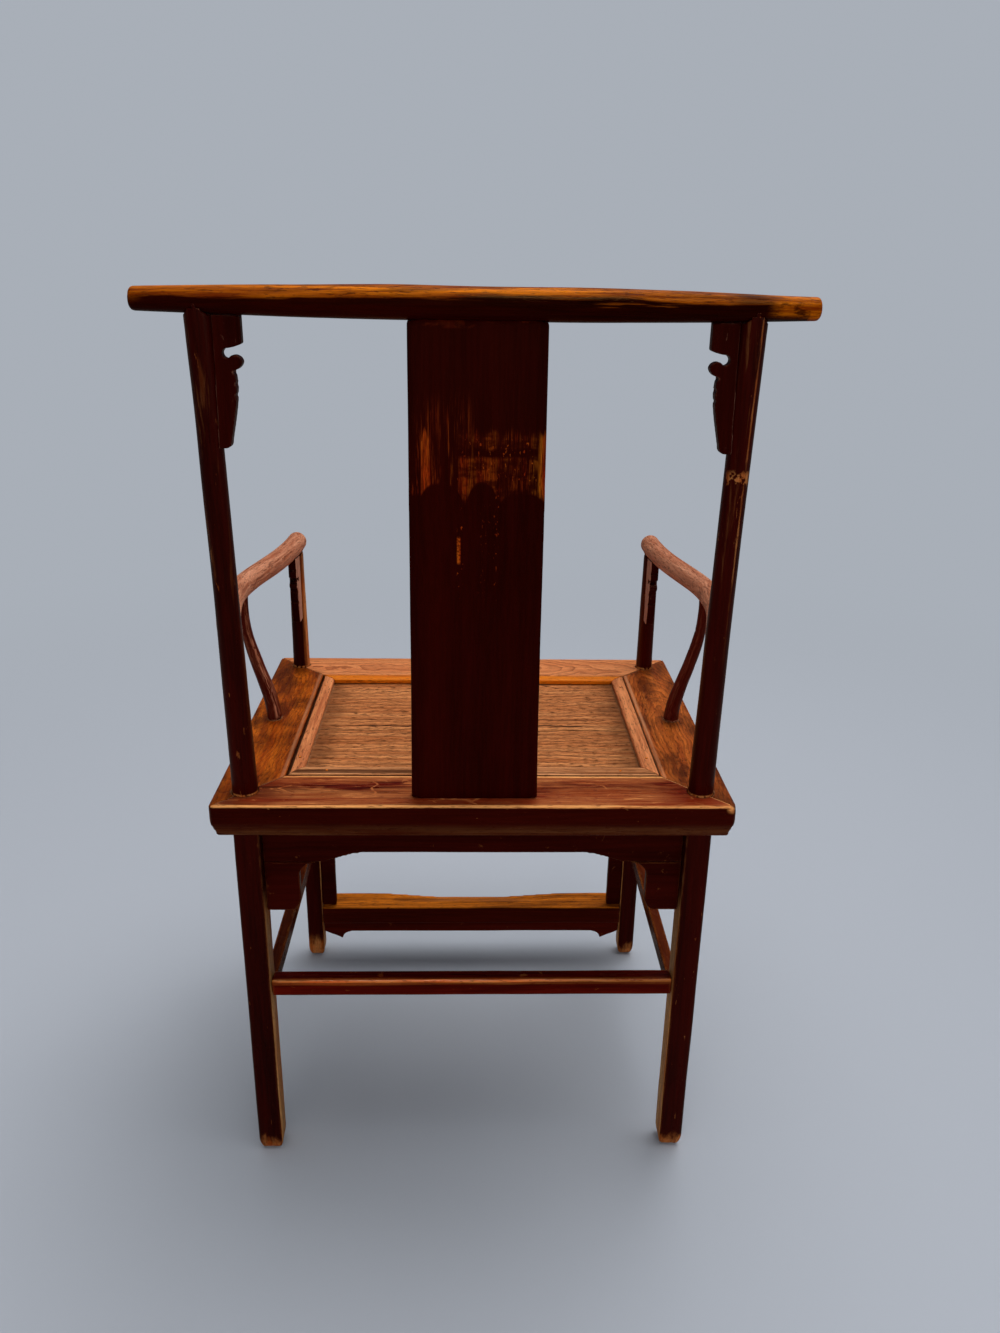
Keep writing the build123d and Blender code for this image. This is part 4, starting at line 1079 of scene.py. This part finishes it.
def strut_bare_and_glint(place, grain):
    """Rubbed on the sides toward middle and rear, most on the sitter's left; a painted glint too.
    """
    x, _, z = axes(place)
    straight = straight_place(place)
    hairs = step(streak_noise(straight, (1, 1, 0.04), 520.0, 4.0, 0.6), 0.40, 0.62)
    patches = bare_patches(straight, (1.0, 1.0, 0.12), scale=110.0, cover=0.50, softness=0.07)
    normal = facing(place)
    toward_middle = facing_inward(x)
    rubbed_side = combine(step(toward_middle, -0.1, 0.8), both(step(normal["Y"], 0.2, 0.9), 0.5))
    left = step(x, -0.1, 0.1, 0.16, 1.0)
    # glint is a painted highlight: a narrow line of bare wood where the side light would be
    # mirrored.
    glint = calc("MULTIPLY_ADD", normal["Y"], 0.78, both(toward_middle, 0.56))
    glint = both(step(calc("MULTIPLY_ADD", normal["Z"], 0.28, glint), 0.90, 0.985), hairs, left)
    ring = span(z, 0.4992, 0.5020, 0.0006)
    ring = both(ring, step(noise_value(place, 240.0, 3.0), 0.36, 0.50), 0.8)
    return combine(
        both(patches, rubbed_side, left, calc("MULTIPLY_ADD", hairs, 0.8, 0.2), 0.6), glint, ring
    )


strut_finish = lacquered_wood(
    "strut lacquer", Z_GRAIN, ((140, 74, 48), (222, 150, 116)),
    ((44, 4, 3), (104, 28, 16)), strut_bare_and_glint, gloss=0.30, bare_gloss=0.36, mirror=0.2, bent=True,
)
dress(strut_finish, "arm_strut_left", "arm_strut_right")
print("arms and struts dressed")

# %% [markdown]
# ## Carved boards
# The boards in the corners of crest rail and posts keep their dark lacquer. Those under the arms
# have a pale face on the inside, where sleeves rub them, and their fretted edges are black.

# %% Carved board shapes and finish
brackets = ("crest_bracket_left", "crest_bracket_right", "arm_bracket_left", "arm_bracket_right")
crest_nicks = ((0.9455, 0.0022, 0.0014), (0.9345, 0.0016, 0.0012), (0.9245, 0.0010, 0.0016))
arm_nicks = (
    (0.652, 0.0030, 0.0016), (0.633, 0.0036, 0.0014), (0.621, 0.0020, 0.0014),
    (0.606, 0.0030, 0.0016)
)


def saw_nicks(places, outward):
    """Small fretted nicks in the free edge of a board: (height, depth, half width) each."""
    under_arm = places[0, 1] < 0.0
    if under_arm:
        direction = np.array([0.0, -1.0, 0.0])
    else:
        direction = np.array([np.sign(places[0, 0]), 0.0, 0.0])
    free_edge = between(-(outward @ direction), 0.2, 0.7)
    depth = np.zeros(len(places))
    for height, deep, half in arm_nicks if under_arm else crest_nicks:
        depth += deep * np.exp(-((places[:, 2] - height) / half) ** 2)
    return places + direction * (depth * free_edge)[:, None]


for board in brackets:
    worn_copy(board, Z_GRAIN, voxel=0.0011, rounding=3, uneven=0.0003, keep=0.4, carve=saw_nicks)


def bracket_bare(place, grain):
    """Pale arrises everywhere; a rubbed face on the boards under the arms."""
    x, y, _ = axes(place)
    arris = arris_wear(place, width=0.0018, strength=0.8, scale=70.0)
    scuffs = bare_patches(place, (0.6, 0.6, 0.2), scale=210.0, cover=0.16, softness=0.03)
    under_arm = below(y, -0.1, 0.0)
    inward = facing_inward(x)
    rubbed_face = both(under_arm, step(inward, 0.5, 0.9), 0.95)
    return combine(both(arris, 0.26), both(scuffs, 0.16), rubbed_face)


bracket_finish = lacquered_wood(
    "carved board lacquer", Z_GRAIN, ((164, 98, 76), (246, 188, 160)),
    ((30, 1, 1), (62, 7, 4)), bracket_bare, gloss=0.38, mirror=0.08,
)
dress(bracket_finish, *brackets)
print("carved boards dressed:", len(brackets))

# %% [markdown]
# ## Seat frame
# Four rails, mitred at the corners, with a moulded outer edge. The top is flat and waxed; the
# edge is lacquered and thins toward the bottom moulding, where the brown wood shows through.

# %% Seat rail shapes
CHIPPED_CORNER = (-0.285, 0.230, 0.500)
CHIP_MIDDLE = (-0.284, 0.229, 0.498)
SIDE_GRAIN = {"front": X_GRAIN, "rear": X_GRAIN, "left": Y_GRAIN, "right": Y_GRAIN}


def chip_corner(places, outward):
    """Breaks a flake off the mitre at the sitter's right rear corner."""
    corner = np.array(CHIPPED_CORNER)
    near = np.linalg.norm(places - corner, axis=1)
    flake = between(-near, -0.011, -0.003) * (0.7 + 0.5 * lumps(places, 0.004, seed=6.0))
    return places - outward * (0.0022 * flake)[:, None]


for side, along in SIDE_GRAIN.items():
    rail = f"seat_rail_{side}"
    worn_copy(rail, along, voxel=0.0019, rounding=4, uneven=0.0003, keep=0.24, carve=chip_corner)
    print(rail, "faces", len(detailed[rail].data.polygons))


# %% Side and front rail finishes
def lacquered_edges(place, grain):
    """The outer edge face keeps its lacquer; the arris above it is rubbed bare."""
    z = axes(place)["Z"]
    edge_face = below(facing(place)["Z"], 0.25, 0.75)
    arris = arris_wear(place, width=0.0035, strength=1.2, scale=40.0)
    kept = inverse(arris)
    thin = step(z, 0.463, 0.472, 0.6, 1.0)
    return both(edge_face, kept, thin, 0.97), (48, 4, 2)


def plan_distance(x, y):
    """How far something is seen from above, from its distances along x and y."""
    offset = add_node(x.id_data, "ShaderNodeCombineXYZ", X=x, Y=y, Z=0.0).outputs[0]
    return vector_calc("LENGTH", _0=offset)


def round_posts(x, y, reach):
    """1 at the feet of the four posts, 0 further away than reach."""
    past_x = calc("SUBTRACT", absolute(x), POST_X)
    past_y = calc("SUBTRACT", absolute(y), 0.197)
    return below(plan_distance(past_x, past_y), 0.018, reach)


strut_places = vertex_values(chair["arm_strut_left"], "co")
strut_foot = strut_places[np.abs(strut_places[:, 2] - 0.505) < 0.006].mean(axis=0).tolist()


def side_stain(place, grain):
    """Lacquered edges, old dark wax round the posts, and darker wood beside the beads."""
    x, y, _ = axes(place)
    edge, dark = lacquered_edges(place, grain)
    mottle = step(streak_noise(place, (1.0, 0.4, 1.0), 26.0, 5.0, 0.6), 0.40, 0.62)
    past_x = calc("SUBTRACT", absolute(x), strut_foot[0])
    past_y = calc("MULTIPLY", calc("SUBTRACT", y, strut_foot[1]), 0.7)
    from_strut = plan_distance(past_x, past_y)
    by_posts = combine(round_posts(x, y, 0.062), step(from_strut, 0.010, 0.026, 0.9, 0.0))
    by_posts = both(by_posts, step(grain["Streaks"], 0.0, 0.7, 0.55, 1.0), 0.75)
    by_gap = step(absolute(x), 0.2085, 0.2185, 0.5, 0.0)
    return combine(edge, by_posts, by_gap, both(mottle, 0.72)), dark


def side_pale(place, grain):
    """The inner arris beside the bead is rubbed pale."""
    x, _, z = axes(place)
    line = span(absolute(x), 0.2158, 0.2196, 0.0012)
    return both(line, step(z, 0.4965, 0.4985), step(grain["Streaks"], 0.0, 1.0, 0.3, 0.65))


SEAT_TONES = {
    "left": ((66, 16, 4), (150, 56, 10), (228, 118, 28)),
    "right": ((70, 20, 8), (154, 62, 22), (232, 126, 50)),
}
hearts = {"left": (0.268, -0.02, 0.478), "right": (-0.243, 0.076, 0.484)}
for side, middle in hearts.items():
    heart = {
        "Heart": middle, "Tilt": (0.02, 0.0, 0.02), "Across": (1.0, 0.17, 1.0),
        "Ring_Width": 0.0036, "Wobble": 0.006,
    }
    sheen, mark = (0.12, 0.55) if side == "left" else (0.18, 0.7)
    finish = waxed_wood(
        f"side rail wax {side}", Y_GRAIN, SEAT_TONES[side], heart, side_stain, mirror=sheen,
        ring_mark=mark, pale=side_pale,
    )
    dress(finish, f"seat_rail_{side}")
front_heart = {
    "Heart": (0.08, -0.186, 0.47), "Tilt": (0.03, 0.02, 0.0), "Across": (0.15, 1.0, 1.0),
    "Ring_Width": 0.0052, "Wobble": 0.009,
}
FRONT_TONES = ((149, 70, 34), (214, 122, 70), (248, 162, 102))
dress(
    waxed_wood("front rail wax", X_GRAIN, FRONT_TONES, front_heart, lacquered_edges),
    "seat_rail_front"
)
print("side and front rails dressed")

# %% [markdown]
# ## Rear rail
# The rear rail is redder and darker than the others, with light scratches along it, a golden
# worn arris at the back that is painted paler as a highlight, and an edge face painted darker than
# the top as shade, nearly black, that turns brown at the bottom moulding.

# %% Rear rail finish
rear_rail_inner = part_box("seat_bead_rear")[1].y


def right_mitre(x, y, z):
    """The mitre at the sitter's right, opened by age and rubbed pale."""
    from_outside = calc("MULTIPLY_ADD", x, 0.075, 0.285 * 0.075)
    across = calc("MULTIPLY_ADD", calc("SUBTRACT", 0.230, y), -0.071, from_outside)
    line = below(absolute(across), 0.00012, 0.00030)
    return both(line, below(x, -0.2, -0.1), step(z, 0.494, 0.497))


def rear_rail_bare(place, grain):
    """Streaky wear on top, a golden line on the rear arris, brown at the bottom of the edge."""
    x, y, z = axes(place)
    top = step(facing(place)["Z"], 0.5, 0.85)
    patches = bare_patches(place, (0.14, 1.0, 1.0), scale=42.0, cover=0.62, softness=0.10)
    flecks = bare_patches(place, (0.10, 1.0, 1.0), scale=190.0, cover=0.27, softness=0.03)
    scored = use_group(
        scratches, Position=place, Along=(0.35, 1.0, 1.0), Scale=42.0, Thickness=0.03, Cover=0.55
    )["Lines"]
    behind_splat = both(span(x, -0.066, 0.066, 0.008), step(y, 0.188, 0.196))
    worn = both(top, calc("MULTIPLY_ADD", flecks, 0.5, both(patches, 0.48)))
    worn = both(worn, calc("MULTIPLY_ADD", behind_splat, -0.7, 1.0))
    worn = both(worn, calc("MULTIPLY_ADD", round_posts(x, y, 0.060), -0.75, 1.0))
    worn = combine(worn, both(scored, top, 0.7))
    ragged = calc("MULTIPLY_ADD", streak_noise(place, X_GRAIN, 120.0, 3.0), 0.0015, z)
    arris = both(step(y, 0.2245, 0.2262), step(ragged, 0.4984, 0.4999), 0.95)
    flakes = bare_patches(place, (0.5, 0.5, 1.0), scale=260.0, cover=0.10, softness=0.02)
    foot = both(step(z, 0.4670, 0.4810, 0.12, 0.0), step(y, 0.2, 0.21))
    inner_arris = span(y, rear_rail_inner + 0.0024, rear_rail_inner + 0.0062, 0.0006)
    inner_arris = both(inner_arris, step(z, 0.4955, 0.4975))
    from_chip = vector_calc("DISTANCE", _0=place, _1=CHIP_MIDDLE)
    chip = both(below(from_chip, 0.006, 0.012), step(z, 0.490, 0.496))
    return combine(worn, arris, both(flakes, 0.3), foot, inner_arris, right_mitre(x, y, z), chip)


def rear_rail_shade(place):
    """The rubbed arrises and the mitre are paler; the rear arris more so, as a painted highlight.
    """
    x, y, z = axes(place)
    inner = step(y, rear_rail_inner + 0.005, rear_rail_inner + 0.007, 1.3, 0.0)
    # outer makes the rear arris paler: a painted highlight.
    outer = both(step(y, 0.2245, 0.2262, 0.0, 1.0), step(z, 0.494, 0.497))
    return calc("ADD", combine(inner, outer, right_mitre(x, y, z)), 0.75)


def rear_rail_deep(place):
    """Painted shade: the lacquer of the edge face is darker than that of the top."""
    return step(facing(place)["Z"], 0.4, 0.8, 0.12, 1.0)


rear_rail_finish = lacquered_wood(
    "rear rail lacquer", X_GRAIN, ((166, 58, 10), (255, 178, 106)),
    ((38, 2, 1), (156, 42, 20)), rear_rail_bare, gloss=0.28, bare_gloss=0.34, mirror=0.09,
    deep=rear_rail_deep, shade=rear_rail_shade,
)
dress(rear_rail_finish, "seat_rail_rear")
print("rear rail dressed")

# %% [markdown]
# ## Seat panel
# The panel is the driest wood of all. The soft spring wood between the rings has worn away and
# left ribs, and a few long cracks and two stained seams follow the grain. Ribs that can be seen
# from the side have to be real height, so the panel is a grid whose rows run with the grain. The
# depth of each groove is kept as an attribute of the mesh, and the finish darkens it.

# %% Seat panel shape
panel_low, panel_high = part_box("seat_panel")
left_bead_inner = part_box("seat_bead_left")[0].x
panel_columns, panel_rows = 76, 270
rib_spacing = 0.0064
rib_depth = 0.0007
crack_strengths = {0.016: 3.0, 0.052: 1.3, 0.090: 0.9, -0.075: 0.8}
crack_depth = 0.0022
crack_width = 0.0008


def groove_depths(places):
    """How deep the surface lies: 0 to about 1 for a groove between ribs, more for a crack."""
    wander = 0.011 * lumps(places, 0.16, (0.55, 1.0, 1.0), 2.5)
    wander += 0.0012 * lumps(places, 0.03, (0.3, 1.0, 1.0), 4.0)
    across = places[:, 1] + wander
    spacing = rib_spacing * (
        1.0 + 0.8 * lumps(np.stack([across * 0, across, across * 0], 1), 0.045, seed=3.3)
    )
    season = np.mod(across / spacing, 1.0)
    ribs = np.exp(-((season - 0.5) / 0.11) ** 2) * (
        0.55 + 0.6 * lumps(places, 0.05, (0.25, 1.0, 1.0), 6.6)
    )
    depth = np.clip(ribs, 0.0, 1.0)
    for crack, strength in crack_strengths.items():
        line = crack + 0.007 * lumps(places, 0.13, (1.0, 0.0, 0.0), crack * 90)
        line = line + 0.0022 * lumps(places, 0.024, (1.0, 0.0, 0.0), crack * 40)
        open_here = between(lumps(places, 0.06, (1.0, 0.0, 0.0), crack * 70), -0.45, 0.1)
        depth = depth + strength * open_here * np.exp(-((places[:, 1] - line) / crack_width) ** 2)
    return depth


def ribbed_panel():
    """The panel as a closed slab with a ribbed top."""
    xs = np.linspace(panel_low.x + 0.0003, panel_high.x - 0.0003, panel_columns)
    ys = np.linspace(panel_low.y + 0.0003, panel_high.y - 0.0003, panel_rows)
    top = np.array([(x, y, panel_high.z) for y in ys for x in xs])
    grooves = groove_depths(top)
    cupping = 0.0004 * (lumps(top, 0.12, seed=1.1) - 1.0)
    ribs = rib_depth * np.minimum(grooves, 1.0)
    cracks = (crack_depth / 3.0) * np.maximum(grooves - 1.0, 0.0)
    top[:, 2] += cupping - ribs - cracks
    foot = top.copy()
    foot[:, 2] = panel_low.z
    count = panel_columns * panel_rows
    faces = []
    for row in range(panel_rows - 1):
        for column in range(panel_columns - 1):
            a = row * panel_columns + column
            quad = (a, a + 1, a + 1 + panel_columns, a + panel_columns)
            faces.append(quad)
            faces.append(tuple(count + corner for corner in reversed(quad)))
    rim = list(range(panel_columns))
    rim += [row * panel_columns + panel_columns - 1 for row in range(1, panel_rows)]
    rim += [
        (panel_rows - 1) * panel_columns + column for column in range(panel_columns - 2, -1, -1)
    ]
    rim += [row * panel_columns for row in range(panel_rows - 2, 0, -1)]
    for here, there in zip(rim, rim[1:] + rim[:1]):
        faces.append((here, count + here, count + there, there))
    mesh = bpy.data.meshes.new("seat_panel_ribbed")
    mesh.from_pydata(np.vstack([top, foot]).tolist(), [], faces)
    attribute = mesh.attributes.new("groove", "FLOAT", "POINT")
    attribute.data.foreach_set("value", np.concatenate([grooves, grooves * 0.0]))
    mesh.validate()
    piece = add_object("seat_panel_ribbed", mesh)
    mesh.shade_smooth()
    mesh.set_sharp_from_angle(angle=math.radians(50))
    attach(piece, "root")
    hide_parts("seat_panel")
    return piece


detailed["seat_panel"] = ribbed_panel()
print("panel faces:", len(detailed["seat_panel"].data.polygons))


# %% Seat panel finish
def long_cracks(place, x, y):
    """Two seams along the board where it has opened with the grain."""
    drift = calc("SUBTRACT", streak_noise(place, (1.0, 0.0, 0.0), 26.0, 3.0), 0.5)
    ragged = calc("MULTIPLY_ADD", drift, 0.016, y)
    long_seam = below(absolute(calc("SUBTRACT", ragged, 0.002)), 0.0011, 0.0024)
    short_seam = step(absolute(calc("ADD", ragged, 0.017)), 0.0007, 0.0018, 0.8, 0.0)
    short_seam = both(short_seam, step(absolute(x), 0.06, 0.09))
    ends = step(absolute(x), 0.13, 0.17, 1.0, 0.3)
    return both(combine(long_seam, short_seam), ends)


def panel_stain_and_shadow(place, grain):
    """Dark grooves and seams, darker toward the ends of the board, and a painted bead shadow."""
    x, y, _ = axes(place)
    groove = kept_on_mesh(place, "groove")["Fac"]
    grooves = step(groove, 0.1, 1.2, 0.0, 0.72)
    rim = calc("SUBTRACT", 0.186, absolute(x))
    wander = calc("MULTIPLY_ADD", noise_value(place, 30.0, 4.0), 0.06, rim)
    corners = step(wander, 0.02, 0.062, 0.62, 0.0)
    dashes = streak_noise(place, (0.13, 1.0, 1.0), 560.0, 3.0, 0.6)
    # A painted shadow: the panel is darker along the inner edge of the beads, most on the sitter's
    # right.
    painted_bead_shadow = step(absolute(x), left_bead_inner - 0.0034, left_bead_inner - 0.0018)
    painted_bead_shadow = both(painted_bead_shadow, step(x, -0.1, 0.1, 0.7, 0.3))
    dashes = step(dashes, 0.54, 0.63, 0.0, 0.78)
    seams = long_cracks(place, x, y)
    return combine(grooves, corners, painted_bead_shadow, dashes, seams), (58, 22, 8)


PANEL_TONES = ((111, 56, 29), (187, 105, 55), (241, 162, 101))
panel_heart = {
    "Heart": (0.1, -0.35, 0.40), "Tilt": (0.02, 0.02, 0.0), "Across": (0.05, 1.0, 1.0),
    "Ring_Width": 0.0105, "Wobble": 0.008,
}
panel_finish = waxed_wood(
    "panel wood", X_GRAIN, PANEL_TONES, panel_heart, panel_stain_and_shadow, gloss=0.5, mirror=0.2, relief=0.8,
    pores=0.95, ring_mark=0.68,
)
dress(panel_finish, "seat_panel", "seat_batten_left", "seat_batten_right")
print("panel dressed")

# %% [markdown]
# ## Cover beads
# Four thin beads cover the edge of the panel. The front one is rubbed to bright orange. The
# others are a dry pinkish brown, and all of them are painted darker where they meet the rails, as
# shade in the corners.

# %% Cover beads
for side, along in SIDE_GRAIN.items():
    worn_copy(f"seat_bead_{side}", along, voxel=0.0011, rounding=4, uneven=0.0003, keep=0.22)


def bead_bare_and_shade(place, grain):
    """Mostly bare, with lacquer left in patches and painted shade where the bead meets the rails.
    """
    patches = bare_patches(place, (0.5, 0.5, 1.0), scale=55.0, cover=1.0, softness=0.1)
    # Painted shade: ambient occlusion keeps the dark lacquer where the bead meets the rails.
    dark = use_group(corner_dust_and_shade, Position=place, Reach=0.004, Amount=0.8)["Dust"]
    return both(step(patches, 0.0, 1.0, 0.6, 1.0), inverse(dark))


BEAD_LACQUER = ((70, 30, 14), (120, 62, 34))
bead_woods = {
    "front": (X_GRAIN, ((206, 96, 8), (248, 142, 24))),
    "side": (Y_GRAIN, ((172, 87, 47), (255, 167, 107))),
}
bead_finish = {
    name: lacquered_wood(
        f"{name} bead wood", along, wood, BEAD_LACQUER, bead_bare_and_shade, gloss=0.38, bare_gloss=0.42,
        mirror=0.3
    )
    for name, (along, wood) in bead_woods.items()
}


def rear_bead_bare_and_shade(place, grain):
    """Dry and pale; a dark line fading toward the sitter's right; painted shade by the rail."""
    x, y, _ = axes(place)
    inner_side = calc("SUBTRACT", y, step(x, -0.12, 0.10, 0.1484, 0.1422))
    line = both(step(inner_side, -0.0006, 0.0006), below(y, 0.1498, 0.1514))
    line = both(line, step(x, -0.12, 0.10, 0.6, 0.78))
    # Painted shade: the edge of the bead next to the rail is kept dark, as the gap beside it.
    line = combine(line, step(y, 0.1528, 0.1540, 0.0, 0.9))
    worn = step(grain["Streaks"], 0.0, 1.0, 0.85, 1.0)
    return both(worn, inverse(line))


rear_bead_finish = lacquered_wood(
    "rear bead wood", X_GRAIN, ((168, 98, 54), (240, 170, 116)),
    ((34, 12, 5), (64, 28, 12)), rear_bead_bare_and_shade, gloss=0.5, bare_gloss=0.5, mirror=0.05,
)
dress(bead_finish["front"], "seat_bead_front", "seat_bead_pins")
dress(rear_bead_finish, "seat_bead_rear")
dress(bead_finish["side"], "seat_bead_left", "seat_bead_right")
print("beads dressed")

# %% [markdown]
# ## Aprons
# The boards under the seat keep their dark lacquer on the faces. Their sawn edges are rough and
# paler, because nobody lacquered them well.

# %% Aprons
aprons = [name for name in chair if "apron" in name]
for board in aprons:
    along = Y_GRAIN if "side" in board else X_GRAIN
    worn_copy(board, along, voxel=0.0015, rounding=3, uneven=0.0003, keep=0.2)


def apron_bare(place, grain):
    """Pale arrises and sawn edges, a few scuffs."""
    arris = arris_wear(place, width=0.0022, strength=0.9, scale=60.0)
    scuffs = bare_patches(place, (0.4, 0.4, 0.4), scale=210.0, cover=0.14, softness=0.03)
    return combine(both(arris, 0.42), both(scuffs, 0.3))


for along, label in ((X_GRAIN, "long"), (Y_GRAIN, "side")):
    finish = lacquered_wood(
        f"apron lacquer {label}", along, ((128, 66, 30), (204, 128, 72)),
        ((38, 2, 1), (70, 12, 6)), apron_bare, gloss=0.38, mirror=0.08,
    )
    dress(finish, *[name for name in aprons if ("side" in name) == (label == "side")])
# A lighter copy of the apron lacquer for the board under the footrest: painted light on a low
# board.
painted_light_apron_finish = lacquered_wood(
    "apron lacquer painted lighter", X_GRAIN, ((128, 66, 30), (204, 128, 72)),
    ((52, 6, 3), (98, 24, 12)), apron_bare, gloss=0.38, mirror=0.08,
)
dress(painted_light_apron_finish, "footrest_apron")
print("aprons dressed:", len(aprons))

# %% [markdown]
# ## Stretchers
# Feet and brooms have polished the upper arris of each stretcher into one long golden line. On
# the rear stretcher the line is also a painted highlight that fades toward the ends, with a
# painted sheen of red wood around it.

# %% Stretchers
for end, along in (("rear", X_GRAIN), ("side_left", Y_GRAIN), ("side_right", Y_GRAIN)):
    worn_copy(f"stretcher_{end}", along, voxel=0.0014, rounding=9, uneven=0.0004, keep=0.34)


stretcher_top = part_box("stretcher_rear")[1].z


def stretcher_bare_and_highlight(place, grain):
    """Golden worn upper arrises, a painted highlight and sheen on the rear one, scuffs below."""
    arris = arris_wear(place, width=0.0045, strength=1.0, scale=26.0)
    upper = step(facing(place)["Z"], 0.1, 0.5)
    scuffs = bare_patches(place, (0.3, 0.3, 1.0), scale=130.0, cover=0.16, softness=0.03)
    x, y, z = axes(place)
    streaks = streak_noise(place, (0.06, 1, 1), 150.0, 4.0)
    ragged = ragged_by(z, streaks, 0.004)
    # rear_line is worn wood that is also a painted highlight; thinner fades it toward the ends.
    rear_line = both(
        span(ragged, stretcher_top - 0.0032, stretcher_top - 0.0003, 0.0007),
        step(y, 0.1985, 0.2008)
    )
    rear_line = both(
        rear_line, step(streaks, 0.3, 0.5, 0.5, 1.0), step(facing(place)["Y"], -0.1, 0.3)
    )
    thinner = step(absolute(calc("SUBTRACT", x, 0.05)), 0.10, 0.24, 1.0, 0.4)
    rear_line = both(rear_line, thinner)
    # glow is a painted sheen: a band of red wood round the painted highlight line.
    glow = both(span(ragged, stretcher_top - 0.0064, stretcher_top + 0.001, 0.0012), thinner, 0.30)
    glow = both(glow, step(y, 0.196, 0.2), step(streaks, 0.3, 0.6, 0.4, 1.0))
    return combine(rear_line, glow, both(arris, upper, 0.75), both(arris, 0.25), both(scuffs, 0.14))


stretcher_lacquer = {
    "rear": ((50, 4, 2), (120, 22, 8)),
    "side": ((58, 16, 5), (124, 52, 20)),
}
for along, label in ((X_GRAIN, "rear"), (Y_GRAIN, "side")):
    finish = lacquered_wood(
        f"{label} stretcher lacquer", along, ((248, 106, 28), (255, 176, 84)),
        stretcher_lacquer[label], stretcher_bare_and_highlight, gloss=0.26, bare_gloss=0.28, mirror=0.08,
        polish=0.8 if label == "rear" else 0.0,
    )
    dress(finish, *[name for name in chair if name.startswith(f"stretcher_{label}")])
print("stretchers dressed")

# %% [markdown]
# ## Footrest
# The top of the footrest is bare golden wood. The edges keep their lacquer.

# %% Footrest
worn_copy("footrest", X_GRAIN, voxel=0.0017, rounding=6, uneven=0.0005, keep=0.34)


def footrest_bare(place, grain):
    """The top is bare wood; so are the rubbed arrises."""
    top = step(facing(place)["Z"], 0.35, 0.8)
    arris = arris_wear(place, width=0.003, strength=1.0, scale=30.0)
    return combine(top, both(arris, 0.6))


footrest_finish = lacquered_wood(
    "footrest wood", X_GRAIN, ((78, 30, 3), (224, 124, 28)),
    ((46, 3, 2), (92, 18, 8)), footrest_bare, gloss=0.34, bare_gloss=0.42, mirror=0.10, relief=0.5,
    glow=GOLDEN_MIRROR,
)
dress(footrest_finish, "footrest")
print("footrest dressed")

# %% [markdown]
# ## Floor
# A pale blue-grey sheet, as wide as the room. Far away it takes the colour of the room itself, so
# no horizon shows. It isn't part of the chair.

# %% Floor
floor_mesh = bpy.data.meshes.new("floor")
reach = 60.0
corners = [(-reach, -reach, 0), (reach, -reach, 0), (reach, reach, 0), (-reach, reach, 0)]
floor_mesh.from_pydata(corners, [], [(0, 1, 2, 3)])
floor = add_object("floor", floor_mesh)
floor_paint, floor_shader, floor_place = start_material("floor paint")
seen_directly = floor_paint.node_tree.nodes.new("ShaderNodeLightPath").outputs["Is Camera Ray"]
mirrored = inverse(seen_directly)
far_share = step(vector_calc("LENGTH", _0=floor_place), 0.6, 2.8)
near_and_far = blend_colour(far_share, (0.480, 0.530, 0.615, 1), (0, 0, 0, 1))
paint = blend_colour(mirrored, near_and_far, (0.24, 0.23, 0.22, 1))
feed(floor_shader.inputs["Base Color"], paint)
haze = blend_colour(both(far_share, seen_directly), (0, 0, 0, 1), ROOM_GREY)
feed(floor_shader.inputs["Emission Color"], haze)
floor_shader.inputs["Emission Strength"].default_value = 1.0
floor_shader.inputs["Roughness"].default_value = 0.9
floor_shader.inputs["Specular IOR Level"].default_value = 0.0
floor_mesh.materials.append(floor_paint)
print("floor laid")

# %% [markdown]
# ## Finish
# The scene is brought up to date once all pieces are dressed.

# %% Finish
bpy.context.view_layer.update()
